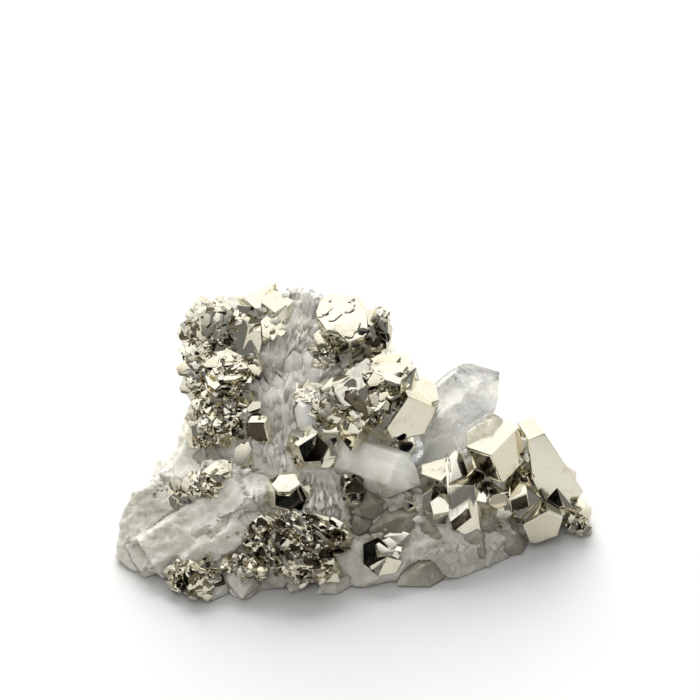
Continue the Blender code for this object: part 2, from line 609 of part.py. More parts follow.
def cut_off(thing, place, outward):
    """Cut away what lies beyond a plane, and close the body there."""
    bm = bmesh.new()
    bm.from_mesh(thing.data)
    everything = bm.verts[:] + bm.edges[:] + bm.faces[:]
    cut = bmesh.ops.bisect_plane(
        bm, geom=everything, dist=BODY_TOUCH, plane_co=place, plane_no=outward, clear_outer=True)
    rim = [part for part in cut["geom_cut"] if isinstance(part, bmesh.types.BMEdge)]
    if rim:
        bmesh.ops.triangle_fill(bm, edges=rim, use_beauty=True, normal=outward)
    bmesh.ops.recalc_face_normals(bm, faces=bm.faces)
    bm.to_mesh(thing.data)
    bm.free()


def seat_of(forms):
    """Place and outward direction, in the world, of the flat seat under a group of forms."""
    centres = [centre for centre, _ in forms]
    middle = sum(centres, Vector()) / len(centres)
    right = slope_near(middle.x + SEAT_STEP, middle.y)
    left = slope_near(middle.x - SEAT_STEP, middle.y)
    normal = Vector(((left - right) / (2 * SEAT_STEP), -SLOPE_LEAN, 1.0)).normalized()
    place = Vector((middle.x, middle.y, slope_near(middle.x, middle.y) - SEAT_DEPTH))
    return SEEN_TO_WORLD @ place, SEEN_TO_WORLD @ -normal


def hull_object(corners, name, collection):
    """Convex body around a few corners."""
    bm = bmesh.new()
    for corner in corners:
        bm.verts.new(corner)
    hull = bmesh.ops.convex_hull(bm, input=bm.verts)
    inside = list({part for part in hull["geom_interior"] if isinstance(part, bmesh.types.BMVert)})
    bmesh.ops.delete(bm, geom=inside, context="VERTS")
    bmesh.ops.recalc_face_normals(bm, faces=bm.faces)
    mesh = bpy.data.meshes.new(name)
    bm.to_mesh(mesh)
    bm.free()
    return object_of(mesh, name, collection)


def rough_quartz(collection, scratch):
    """The rough quartz: wedges and lumps melted together, roughened and made coarse again."""
    body = hull_object(WEDGE_LEFT, "quartz_matrix", collection)
    pieces = [hull_object(WEDGE_RIGHT, "wedge_right", scratch)]
    for count, (column, row, proud, radius) in enumerate(ROUGH_LUMPS):
        form = lump(column, row, proud, radius, FRONT_SEED + count, FRONT_SIDES)
        pieces.append(form_object(form, "rough", scratch))
    for count, (across, back, height, radius) in enumerate(BACK_LUMPS):
        _, planes = lump(MIDDLE_COLUMN, MIDDLE_ROW, 0.0, radius, BACK_SEED + count, BACK_SIDES)
        mesh = convex_mesh(planes)
        mesh.transform(Matrix.Translation((across, back, height)))
        pieces.append(object_of(mesh, "rough_back", scratch))
    boolean(body, pieces, "UNION")
    for piece in pieces:
        bpy.data.objects.remove(piece)
    remesh = body.modifiers.new("melt", "REMESH")
    remesh.mode = "VOXEL"
    remesh.voxel_size = ROUGH_VOXEL
    bake_modifiers(body)
    roughen(body.data)
    decimate = body.modifiers.new("coarse", "DECIMATE")
    decimate.ratio = ROUGH_FACES / (2.0 * len(body.data.polygons))
    bake_modifiers(body)
    return body


def roughen(mesh):
    """Move a mesh's points along their normals by broken, ridged noise."""
    moves = []
    for vert in mesh.vertices:
        ridges = noise.ridged_multi_fractal(
            vert.co / RIDGE_SIZE, RIDGE_FADE, RIDGE_STEP, RIDGE_LAYERS, RIDGE_LEVEL, RIDGE_GAIN)
        moves.append(vert.normal * (RIDGE_DEPTH * max(-1.0, min(1.0, ridges - RIDGE_LEVEL))))
    for vert, move in zip(mesh.vertices, moves):
        vert.co += move


def material(name, colour, metallic, roughness):
    """Principled material."""
    finish = bpy.data.materials.new(name)
    finish.use_nodes = True
    shader = finish.node_tree.nodes["Principled BSDF"]
    shader.inputs["Base Color"].default_value = (*colour, 1.0)
    shader.inputs["Metallic"].default_value = metallic
    shader.inputs["Roughness"].default_value = roughness
    return finish


def finish_object(thing, finish):
    """Centre the base on the origin, turn millimetres to metres and dress the object."""
    thing.data.transform(Matrix.Scale(METRE, 4) @ Matrix.Translation(BASE_CENTRE))
    thing.data.materials.clear()
    thing.data.materials.append(finish)


def build():
    """Make the cluster."""
    for thing in list(bpy.data.objects):
        bpy.data.objects.remove(thing)
    parts = bpy.data.collections.new(NAME)
    cutters = bpy.data.collections.new("cutters")
    bpy.context.scene.collection.children.link(parts)
    bpy.context.scene.collection.children.link(cutters)
    pyrite = material("pyrite", *PYRITE_FINISH)
    quartz = material("quartz", *QUARTZ_FINISH)
    clear = material("clear_quartz", *CLEAR_FINISH)

    solids = {}
    sockets = []
    for name, forms in PYRITE.items():
        seat, down = seat_of(forms)
        solid = union_of(forms, name, parts, cutters)
        cut_off(solid, seat, down)
        if sockets:
            boolean(solid, sockets, "DIFFERENCE")
        cut_off(solid, Vector((0.0, 0.0, GAP)), DOWN)
        tidy_body(solid)
        socket = union_of(forms, name + "_socket", cutters, cutters, GAP)
        cut_off(socket, seat + down * GAP, down)
        socket.display_type = "WIRE"
        socket.hide_render = True
        sockets.append(socket)
        solids[name] = solid

    glassy = form_object(CLEAR_CRYSTAL, "quartz_crystal_clear", parts)
    boolean(glassy, sockets, "DIFFERENCE")
    tidy_body(glassy)
    socket = form_object(CLEAR_CRYSTAL, "quartz_crystal_clear_socket", cutters, GAP)
    socket.display_type = "WIRE"
    socket.hide_render = True
    sockets.append(socket)

    matrix = rough_quartz(parts, cutters)
    crystals = [form_object(form, "quartz_crystal", cutters) for form in QUARTZ_CRYSTALS]
    for foot, tip, width, roll in BACK_CRYSTALS:
        end, planes = prism_between(Vector(foot), Vector(tip), width, roll)
        mesh = convex_mesh(planes)
        mesh.transform(Matrix.Translation(end))
        crystals.append(object_of(mesh, "quartz_crystal_back", cutters))
    boolean(matrix, crystals, "UNION")
    for crystal in crystals:
        bpy.data.objects.remove(crystal)
    boolean(matrix, sockets, "DIFFERENCE")
    cut_off(matrix, Vector(), DOWN)
    tidy_body(matrix)

    for solid in solids.values():
        finish_object(solid, pyrite)
    finish_object(glassy, clear)
    finish_object(matrix, quartz)
    for socket in sockets:
        socket.data.transform(Matrix.Scale(METRE, 4) @ Matrix.Translation(BASE_CENTRE))


build()
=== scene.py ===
"""Looks of a hand specimen: brassy pyrite grown on and in pale quartz, on a plain pale floor.

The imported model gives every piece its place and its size. Pieces are modelled in millimetres and
turned into metres when they are finished. Places on the specimen are given as they are seen from
the front: a column and a row of the view, and how proud of the general slope they stand.
"""

import sys

import logging
import math
import random
from collections.abc import Callable, Iterator
from contextlib import contextmanager
from dataclasses import dataclass, field
from enum import Enum
from typing import ClassVar

import bmesh
import bpy
from mathutils import Matrix, Vector
from mathutils.bvhtree import BVHTree

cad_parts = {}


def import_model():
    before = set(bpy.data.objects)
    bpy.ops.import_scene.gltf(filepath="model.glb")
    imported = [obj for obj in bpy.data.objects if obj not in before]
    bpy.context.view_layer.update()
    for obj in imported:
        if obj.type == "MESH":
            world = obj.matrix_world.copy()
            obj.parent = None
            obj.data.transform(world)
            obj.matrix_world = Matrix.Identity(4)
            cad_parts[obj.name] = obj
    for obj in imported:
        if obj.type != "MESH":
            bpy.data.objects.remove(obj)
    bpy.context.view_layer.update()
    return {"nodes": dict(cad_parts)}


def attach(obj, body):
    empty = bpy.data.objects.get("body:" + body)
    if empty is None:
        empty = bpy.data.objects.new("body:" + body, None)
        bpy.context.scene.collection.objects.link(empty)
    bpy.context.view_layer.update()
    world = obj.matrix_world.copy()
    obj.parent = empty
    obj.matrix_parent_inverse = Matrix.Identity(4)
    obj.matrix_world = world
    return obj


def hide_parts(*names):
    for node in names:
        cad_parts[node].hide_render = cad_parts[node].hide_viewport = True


LOG = logging.getLogger("cluster")
MM = 0.001
WELD = 0.002
ABOVE_FLOOR = 0.02
SMALLEST = 1e-6
CLOUD_MIDDLE = 0.5
QUARTZ_IOR = 1.544
BODY = "root"
QUARTZ_NODE = "quartz_matrix"
CLEAR_NODE = "quartz_crystal_clear"
PYRITE_PREFIX = "pyrit"


class Slot(Enum):
    """Names of the material slots."""

    MILKY = "milky_quartz"
    CLEAR = "clear_quartz"
    PYRITE = "pyrite"


class Sharp(Enum):
    """Angle in degrees above which the edges of a kind of piece stay sharp."""

    BODY = 18.0
    CRYSTAL = 25.0
    DRUSE = 15.0
    VEIL = 60.0
    FACETS = 20.0
    GRAINS = 12.0


# Places in the view


@dataclass(frozen=True)
class View:
    """How columns and rows of the view lie on the specimen, in millimetres."""

    elevation: float = math.radians(40.0)
    mm_per_pixel: float = 0.11
    middle: tuple[float, float] = (353.0, 444.0)
    base_centre: tuple[float, float, float] = (0.3, 10.3, 0.0)
    lean: float = -0.15
    rim: tuple[tuple[float, float], ...] = (
        (-26.0, -14.2), (-20.0, -15.3), (-15.0, -17.2), (-10.0, -17.0), (-6.0, -16.6),
        (1.0, -15.8), (11.0, -15.0), (14.0, -14.0), (18.5, -11.6), (26.0, -9.5),
    )

    @property
    def turn(self) -> Matrix:
        """Rotation from across, up and near in the view to the world."""
        sine, cosine = math.sin(self.elevation), math.cos(self.elevation)
        return Matrix(((1.0, 0.0, 0.0), (0.0, sine, -cosine), (0.0, cosine, sine)))

    @property
    def eye(self) -> Vector:
        """Direction towards the eye, in the world."""
        return self.turn @ Vector((0.0, 0.0, 1.0))

    def rim_height(self, across: float) -> float:
        """Height in the view at which the front slope meets the ground.

        Args:
            across: Place across the view, in millimetres.

        Returns:
            The height, in millimetres.
        """
        for (left, low), (right, high) in zip(self.rim, self.rim[1:]):
            if across <= right:
                share = max(0.0, (across - left) / (right - left))
                return low + share * (high - low)
        return self.rim[-1][1]

    def near(self, across: float, up: float) -> float:
        """How near the general slope lies at a place in the view."""
        rim = self.rim_height(across)
        return -rim / math.tan(self.elevation) + self.lean * (up - rim)

    def seen(self, column: float, row: float, proud: float = 0.0) -> Vector:
        """Place in the view's own axes.

        Args:
            column: Column of the view.
            row: Row of the view.
            proud: Distance in front of the general slope.

        Returns:
            Across, up and near, in millimetres.
        """
        across = (column - self.middle[0]) * self.mm_per_pixel
        up = (self.middle[1] - row) * self.mm_per_pixel
        return Vector((across, up, self.near(across, up) + proud))

    def world(self, seen: Vector) -> Vector:
        """Place in the world, in millimetres, of a place in the view's axes."""
        return self.turn @ seen + Vector(self.base_centre)

    def pixel(self, place: Vector) -> tuple[float, float]:
        """Column and row at which a world place is seen.

        Args:
            place: The place, in millimetres.

        Returns:
            The column and the row.
        """
        seen = self.turn.inverted() @ (place - Vector(self.base_centre))
        return (
            seen.x / self.mm_per_pixel + self.middle[0],
            self.middle[1] - seen.y / self.mm_per_pixel,
        )


VIEW = View()


def facing(around: float, tilt: float) -> Vector:
    """Direction in the view's axes that leans away from the eye by tilt, towards around."""
    turn, lean = math.radians(around), math.radians(tilt)
    return Vector((math.sin(lean) * math.cos(turn), math.sin(lean) * math.sin(turn), math.cos(lean)))


@dataclass(frozen=True)
class Round:
    """Round stretch of the view."""

    column: float
    row: float
    radius: float

    def away(self, column: float, row: float) -> float:
        """How far a place of the view lies from the middle."""
        return math.hypot(column - self.column, row - self.row)


# Modelling tools


def clamp(value: float, most: float = 1.0) -> float:
    """Keep a value between nothing and the most."""
    return max(0.0, min(most, value))


def deselect() -> None:
    """Leave edit mode and select nothing."""
    if bpy.context.object and bpy.context.object.mode != "OBJECT":
        bpy.ops.object.mode_set(mode="OBJECT")
    bpy.ops.object.select_all(action="DESELECT")


def pick(thing: bpy.types.Object) -> None:
    """Select one object alone and make it active.

    Args:
        thing: The object.
    """
    deselect()
    thing.select_set(True)
    bpy.context.view_layer.objects.active = thing


def apply_modifiers(thing: bpy.types.Object) -> None:
    """Apply all modifiers of an object, in order.

    Args:
        thing: The object.
    """
    pick(thing)
    for modifier in list(thing.modifiers):
        bpy.ops.object.modifier_apply(modifier=modifier.name)


@contextmanager
def editing(thing: bpy.types.Object) -> Iterator[None]:
    """Edit one object with all of it selected, and leave edit mode after.

    Args:
        thing: Object to edit.

    Yields:
        Nothing.
    """
    pick(thing)
    bpy.ops.object.mode_set(mode="EDIT")
    bpy.ops.mesh.select_all(action="SELECT")
    yield
    bpy.ops.object.mode_set(mode="OBJECT")


def select_faces(thing: bpy.types.Object, wanted: Callable[[bmesh.types.BMFace], bool]) -> None:
    """Select some faces in edit mode, and nothing else.

    Args:
        thing: Object in edit mode.
        wanted: Whether a face is selected.
    """
    bpy.ops.mesh.select_all(action="DESELECT")
    mesh = bmesh.from_edit_mesh(thing.data)
    mesh.select_mode = {"FACE"}
    for face in mesh.faces:
        face.select_set(wanted(face))
    bmesh.update_edit_mesh(thing.data)


def cut(place: Vector, outward: Vector) -> None:
    """Cut off what lies outward of a plane in edit mode, and close the cut."""
    bpy.ops.mesh.select_all(action="SELECT")
    bpy.ops.mesh.bisect(plane_co=place, plane_no=outward, use_fill=True, clear_outer=True)


def bevel(thing: bpy.types.Object, width: float, angle: float, segments: int = 2,
          clamped: bool = True) -> None:
    """Add a modifier that softens sharp edges.

    Args:
        thing: Object to change.
        width: Width of the softened edge in millimetres.
        angle: Angle in degrees above which an edge is softened.
        segments: Steps across the edge.
        clamped: Whether the width stops where edges would meet.
    """
    edge = thing.modifiers.new("edge", "BEVEL")
    edge.width = width
    edge.segments = segments
    edge.limit_method = "ANGLE"
    edge.angle_limit = math.radians(angle)
    edge.use_clamp_overlap = clamped


def thin_out(thing: bpy.types.Object, keep: float) -> None:
    """Add a modifier that keeps a share of the faces."""
    thing.modifiers.new("coarse", "DECIMATE").ratio = keep


def join(things: list[bpy.types.Object], name: str) -> bpy.types.Object:
    """Join objects into the first of them.

    Args:
        things: Objects to join.
        name: Name of the result.

    Returns:
        The joined object.
    """
    deselect()
    for thing in things:
        thing.select_set(True)
    bpy.context.view_layer.objects.active = things[0]
    if len(things) > 1:
        bpy.ops.object.join()
    things[0].name = name
    things[0].data.name = name
    return things[0]


def node_copy(node: bpy.types.Object, name: str) -> bpy.types.Object:
    """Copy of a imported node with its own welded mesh, in millimetres.

    Args:
        node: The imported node.
        name: Name of the copy.

    Returns:
        A new object at the origin.
    """
    copy = bpy.data.objects.new(name, node.data.copy())
    bpy.context.scene.collection.objects.link(copy)
    copy.data.materials.clear()
    copy.data.transform(Matrix.Scale(1.0 / MM, 4))
    with editing(copy):
        bpy.ops.mesh.remove_doubles(threshold=WELD)
        bpy.ops.mesh.dissolve_degenerate(threshold=WELD)
    for kind in ("sharp_face", "sharp_edge"):
        layer = copy.data.attributes.get(kind)
        if layer:
            copy.data.attributes.remove(layer)
    return copy


def pyrite_copies(nodes: dict[str, bpy.types.Object], name: str) -> list[bpy.types.Object]:
    """Copies of all packed pyrite nodes, in millimetres."""
    return [node_copy(node, name) for key, node in nodes.items() if key.startswith(PYRITE_PREFIX)]


def tree_of(things: list[bpy.types.Object]) -> BVHTree:
    """Search tree over the faces of several objects at the origin.

    Args:
        things: The objects.

    Returns:
        The tree.
    """
    places: list[Vector] = []
    faces: list[tuple[int, ...]] = []
    for thing in things:
        first = len(places)
        places.extend(vert.co.copy() for vert in thing.data.vertices)
        faces.extend(tuple(first + i for i in face.vertices) for face in thing.data.polygons)
    return BVHTree.FromPolygons(places, faces)


def is_inside(tree: BVHTree, place: Vector) -> bool:
    """Whether a place lies inside the closed meshes of a search tree."""
    near, normal, _, _ = tree.find_nearest(place)
    return near is not None and (place - near).dot(normal) < 0.0


def weigh(thing: bpy.types.Object, name: str, weights: list[float]) -> None:
    """Give an object a vertex group with one weight for each point.

    Args:
        thing: The object.
        name: Name of the group.
        weights: A weight for each point, in order.
    """
    group = thing.vertex_groups.new(name=name)
    for index, weight in enumerate(weights):
        if weight > 0.0:
            group.add((index,), weight, "REPLACE")


def displace(thing: bpy.types.Object, strength: float, group: str = "",
             texture: bpy.types.Texture | None = None, middle: float = 0.0) -> None:
    """Add a modifier that moves points along their normals.

    Args:
        thing: Object to change.
        strength: Distance in millimetres.
        group: Vertex group that weighs the move.
        texture: Procedural texture that varies it.
        middle: Texture value that leaves a point in place.
    """
    modifier = thing.modifiers.new("displace", "DISPLACE")
    modifier.strength = strength
    modifier.mid_level = middle
    modifier.vertex_group = group
    modifier.texture_coords = "LOCAL"
    if texture:
        modifier.texture = texture


def displace_drawn(thing: bpy.types.Object, strength: float, group: str,
                   texture: bpy.types.Texture, middle: float, draw: float) -> None:
    """Move points along their normals by a texture drawn out upward in the view, and apply it.

    Args:
        thing: Object to change.
        strength: Distance in millimetres.
        group: Vertex group that weighs the move.
        texture: Procedural texture that varies it.
        middle: Texture value that leaves a point in place.
        draw: How many times the texture is longer than wide.
    """
    guide = bpy.data.objects.new("guide", None)
    bpy.context.scene.collection.objects.link(guide)
    guide.matrix_world = VIEW.turn.to_4x4() @ Matrix.Diagonal((1.0, draw, 1.0, 1.0))
    displace(thing, strength, group, texture, middle)
    thing.modifiers[-1].texture_coords = "OBJECT"
    thing.modifiers[-1].texture_coords_object = guide
    bpy.context.view_layer.update()
    apply_modifiers(thing)
    bpy.data.objects.remove(guide)


def clouds(name: str, size: float, depth: int) -> bpy.types.Texture:
    """Soft noise texture for displacement.

    Args:
        name: Name of the texture.
        size: Size of its features in millimetres.
        depth: How many finer layers it has.

    Returns:
        The texture.
    """
    texture = bpy.data.textures.new(name, "CLOUDS")
    texture.noise_scale = size
    texture.noise_depth = depth
    return texture


def cells(name: str, size: float) -> bpy.types.Texture:
    """Blocky cell texture for displacement.

    Args:
        name: Name of the texture.
        size: Size of its cells in millimetres.

    Returns:
        The texture.
    """
    texture = bpy.data.textures.new(name, "VORONOI")
    texture.noise_scale = size
    texture.distance_metric = "CHEBYCHEV"
    return texture


def remesh(thing: bpy.types.Object, voxel: float) -> None:
    """Melt an object's closed parts into one closed skin.

    Args:
        thing: The object.
        voxel: Size of the skin's faces in millimetres.
    """
    modifier = thing.modifiers.new("melt", "REMESH")
    modifier.mode = "VOXEL"
    modifier.voxel_size = voxel
    apply_modifiers(thing)


def mesh_object(name: str, places: list[Vector], faces: list[tuple[int, ...]]) -> bpy.types.Object:
    """New object at the origin from places and faces that copies of a modelled shape fill.

    Args:
        name: Name of the object.
        places: Its points, in millimetres.
        faces: Its faces, each as numbers of points.

    Returns:
        The object.
    """
    mesh = bpy.data.meshes.new(name)
    mesh.from_pydata(places, [], faces)
    thing = bpy.data.objects.new(name, mesh)
    bpy.context.scene.collection.objects.link(thing)
    return thing


class Copies:
    """Places and faces of many copies of one small modelled shape."""

    def __init__(self, source: bpy.types.Object) -> None:
        """Read the shape from a modelled object.

        Args:
            source: The object.
        """
        self.shape = [vert.co.copy() for vert in source.data.vertices]
        self.shape_faces = [tuple(face.vertices) for face in source.data.polygons]
        self.places: list[Vector] = []
        self.faces: list[tuple[int, ...]] = []

    def add(self, centre: Vector, turn: Matrix, scale: Matrix) -> None:
        """Add a copy.

        Args:
            centre: Place of the shape's origin.
            turn: Its rotation.
            scale: Its size along each axis, before it is turned.
        """
        start = len(self.places)
        self.places.extend(centre + turn @ (scale @ corner) for corner in self.shape)
        self.faces.extend(tuple(start + i for i in face) for face in self.shape_faces)


def store(thing: bpy.types.Object, name: str, kind: str, domain: str, values: list[float]) -> None:
    """Store an attribute that a material reads.

    Args:
        thing: Object to give it to.
        name: Name of the attribute.
        kind: FLOAT or FLOAT_VECTOR.
        domain: POINT or FACE.
        values: Its numbers in a row.
    """
    layer = thing.data.attributes.new(name, kind, domain)
    layer.data.foreach_set("vector" if kind == "FLOAT_VECTOR" else "value", values)


def give_growth(thing: bpy.types.Object, frames: list[tuple[Vector, Matrix]]) -> None:
    """Store along, across and aside of the nearest crystal axis at each point, in millimetres.

    Args:
        thing: Object to give the attribute to.
        frames: A place on each axis, and the rows along, across and aside of it.
    """
    values: list[float] = []
    for vert in thing.data.vertices:
        grown = [rows @ (vert.co - place) for place, rows in frames]
        values.extend(min(grown, key=lambda own: own.y * own.y + own.z * own.z))
    store(thing, "growth", "FLOAT_VECTOR", "POINT", values)


@dataclass(frozen=True)
class PaintedShadeZone(Round):
    """Round stretch of the view where the quartz gets painted shade, fading out at its edge."""

    shade: float

    middle: ClassVar[float] = 1.6
    fall: ClassVar[float] = 1.4

    def at(self, column: float, row: float) -> float:
        """How much painted shade darkens the quartz at a place of the view."""
        return self.shade * clamp(self.middle - self.fall * (self.away(column, row) / self.radius))


# Stretches of the view where the quartz is darkened with painted shade
PAINTED_SHADE_ZONES = (
    PaintedShadeZone(150, 515, 62, 0.75), PaintedShadeZone(215, 520, 50, 0.4), PaintedShadeZone(205, 575, 45, 0.5),
    PaintedShadeZone(210, 425, 45, 0.4), PaintedShadeZone(375, 520, 48, 1.2), PaintedShadeZone(345, 485, 30, 0.8),
    PaintedShadeZone(430, 545, 50, 0.8), PaintedShadeZone(500, 555, 55, 0.6), PaintedShadeZone(350, 580, 40, 0.6),
    PaintedShadeZone(270, 560, 55, 0.9), PaintedShadeZone(188, 448, 36, 0.3), PaintedShadeZone(345, 360, 30, 0.5),
    PaintedShadeZone(265, 470, 26, 0.4), PaintedShadeZone(430, 490, 26, 0.6),
)

# Painted shade where the quartz is seen edge-on, how fast it grows from there, and the most at the back
SIDE_PAINTED_SHADE = 0.4
BACK_FALL = 2.0
BACK_PAINTED_SHADE = 1.4


def give_painted_shade(thing: bpy.types.Object) -> None:
    """Store at each point how much painted shade darkens the quartz there; the back gets it all over.

    Args:
        thing: Object to give the attribute to, in millimetres.
    """
    eye = VIEW.eye
    values = []
    for vert in thing.data.vertices:
        spot = VIEW.pixel(vert.co)
        back = clamp(SIDE_PAINTED_SHADE - BACK_FALL * vert.normal.dot(eye), BACK_PAINTED_SHADE)
        values.append(max(back, *(zone.at(*spot) for zone in PAINTED_SHADE_ZONES)))
    store(thing, "shade", "FLOAT", "POINT", values)


def finish_piece(thing: bpy.types.Object, material: bpy.types.Material, sharp: Sharp,
                 replaced: tuple[str, ...] = ()) -> bpy.types.Object:
    """Turn a piece into metres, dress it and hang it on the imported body.

    Args:
        thing: Object modelled in millimetres at the origin.
        material: Its finish.
        sharp: Which of its edges stay sharp.
        replaced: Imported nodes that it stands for.

    Returns:
        The same object.
    """
    for vert in thing.data.vertices:
        vert.co.z = max(vert.co.z, ABOVE_FLOOR)
    thing.data.transform(Matrix.Scale(MM, 4))
    thing.data.materials.clear()
    thing.data.materials.append(material)
    pick(thing)
    bpy.ops.object.shade_smooth_by_angle(angle=math.radians(sharp.value))
    deselect()
    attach(thing, BODY)
    if replaced:
        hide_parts(*replaced)
    LOG.info("%s: %d faces", thing.name, len(thing.data.polygons))
    return thing


# Shader tools


@dataclass
class Bench:
    """Adds and links nodes in one node tree."""

    tree: bpy.types.NodeTree

    def put(self, node: bpy.types.Node, inputs: dict) -> None:
        """Set inputs of a node to values, or link them from sockets.

        Args:
            node: The node.
            inputs: Socket names or numbers with a value, or a socket to link from.
        """
        for key, value in inputs.items():
            if isinstance(value, bpy.types.NodeSocket):
                self.tree.links.new(value, node.inputs[key])
            else:
                node.inputs[key].default_value = value

    def add(self, kind: str, inputs: dict | None = None, **settings: object) -> bpy.types.Node:
        """Add a node.

        Args:
            kind: Node type.
            inputs: Socket names or numbers with a value, or a socket to link from.
            settings: Properties of the node.

        Returns:
            The node.
        """
        node = self.tree.nodes.new(kind)
        for key, value in settings.items():
            setattr(node, key, value)
        self.put(node, inputs or {})
        return node

    def math(self, operation: str, first: object, second: object = 0.0) -> bpy.types.NodeSocket:
        """Add a Math node and give its output."""
        return self.add("ShaderNodeMath", {0: first, 1: second}, operation=operation).outputs[0]

    def total(self, first: object, second: object, share: object = 1.0) -> bpy.types.NodeSocket:
        """Add a share of the second value to the first."""
        return self.math("ADD", first, self.math("MULTIPLY", second, share))

    def ramp(self, value: bpy.types.NodeSocket, low: object, high: object,
             start: float = 0.0, end: float = 1.0) -> bpy.types.NodeSocket:
        """Map a value smoothly from low..high to start..end.

        Args:
            value: Socket of the value.
            low: Value that gives the start.
            high: Value that gives the end.
            start: First result.
            end: Last result.

        Returns:
            Socket of the result.
        """
        node = self.add(
            "ShaderNodeMapRange",
            {"Value": value, "From Min": low, "From Max": high, "To Min": start, "To Max": end},
            interpolation_type="SMOOTHSTEP",
        )
        return node.outputs["Result"]

    def fall(self, value: bpy.types.NodeSocket, reach: object) -> bpy.types.NodeSocket:
        """Map a value evenly from nothing..reach to one..nothing."""
        node = self.add("ShaderNodeMapRange", {"Value": value, "From Min": reach, "From Max": 0.0})
        return node.outputs["Result"]

    def mix(self, share: object, first: object, second: object) -> bpy.types.NodeSocket:
        """Mix two colours.

        Args:
            share: Share of the second.
            first: A colour or a socket.
            second: A colour or a socket.

        Returns:
            Socket of the mixed colour.
        """
        colours = {
            key: value if isinstance(value, bpy.types.NodeSocket) else (*value, 1.0)
            for key, value in ((6, first), (7, second))
        }
        return self.add("ShaderNodeMix", data_type="RGBA", inputs={0: share, **colours}).outputs[2]

    def noise(self, place: object, scale: object, detail: float, roughness: float = 0.5) -> bpy.types.Node:
        """Add a Noise Texture node.

        Args:
            place: Socket of the place.
            scale: How fine the noise is.
            detail: How many finer layers it has.
            roughness: How strong the finer layers are.

        Returns:
            The node.
        """
        return self.add(
            "ShaderNodeTexNoise",
            {"Vector": place, "Scale": scale, "Detail": detail, "Roughness": roughness})

    def group(self, tree: bpy.types.NodeTree, **inputs: object) -> bpy.types.Node:
        """Add a group node and set or link its inputs."""
        return self.add("ShaderNodeGroup", inputs, node_tree=tree)

    def attribute(self, name: str, output: str = "Fac") -> bpy.types.NodeSocket:
        """Read an attribute of the piece."""
        return self.add("ShaderNodeAttribute", attribute_name=name).outputs[output]

    def relief(self, shader: bpy.types.Node, height: bpy.types.NodeSocket, depth: float = MM) -> None:
        """Give a shader a bumpy normal from a height."""
        bump = self.add("ShaderNodeBump", {"Height": height, "Distance": depth, "Strength": 1.0})
        self.put(shader, {"Normal": bump.outputs["Normal"]})


def new_group(name: str, inputs: dict[str, float],
              outputs: tuple[str, ...]) -> tuple[Bench, bpy.types.Node, bpy.types.Node]:
    """Start a shader node group that takes a place and values, and gives values.

    Args:
        name: Name of the group.
        inputs: Names of the values it takes after Place, each with its first value.
        outputs: Names of the values it gives.

    Returns:
        A bench on its tree, its input node and its output node.
    """
    tree = bpy.data.node_groups.new(name, "ShaderNodeTree")
    tree.interface.new_socket("Place", in_out="INPUT", socket_type="NodeSocketVector")
    for key, value in inputs.items():
        tree.interface.new_socket(key, in_out="INPUT", socket_type="NodeSocketFloat").default_value = value
    for key in outputs:
        tree.interface.new_socket(key, in_out="OUTPUT", socket_type="NodeSocketFloat")
    bench = Bench(tree)
    return bench, bench.add("NodeGroupInput"), bench.add("NodeGroupOutput")


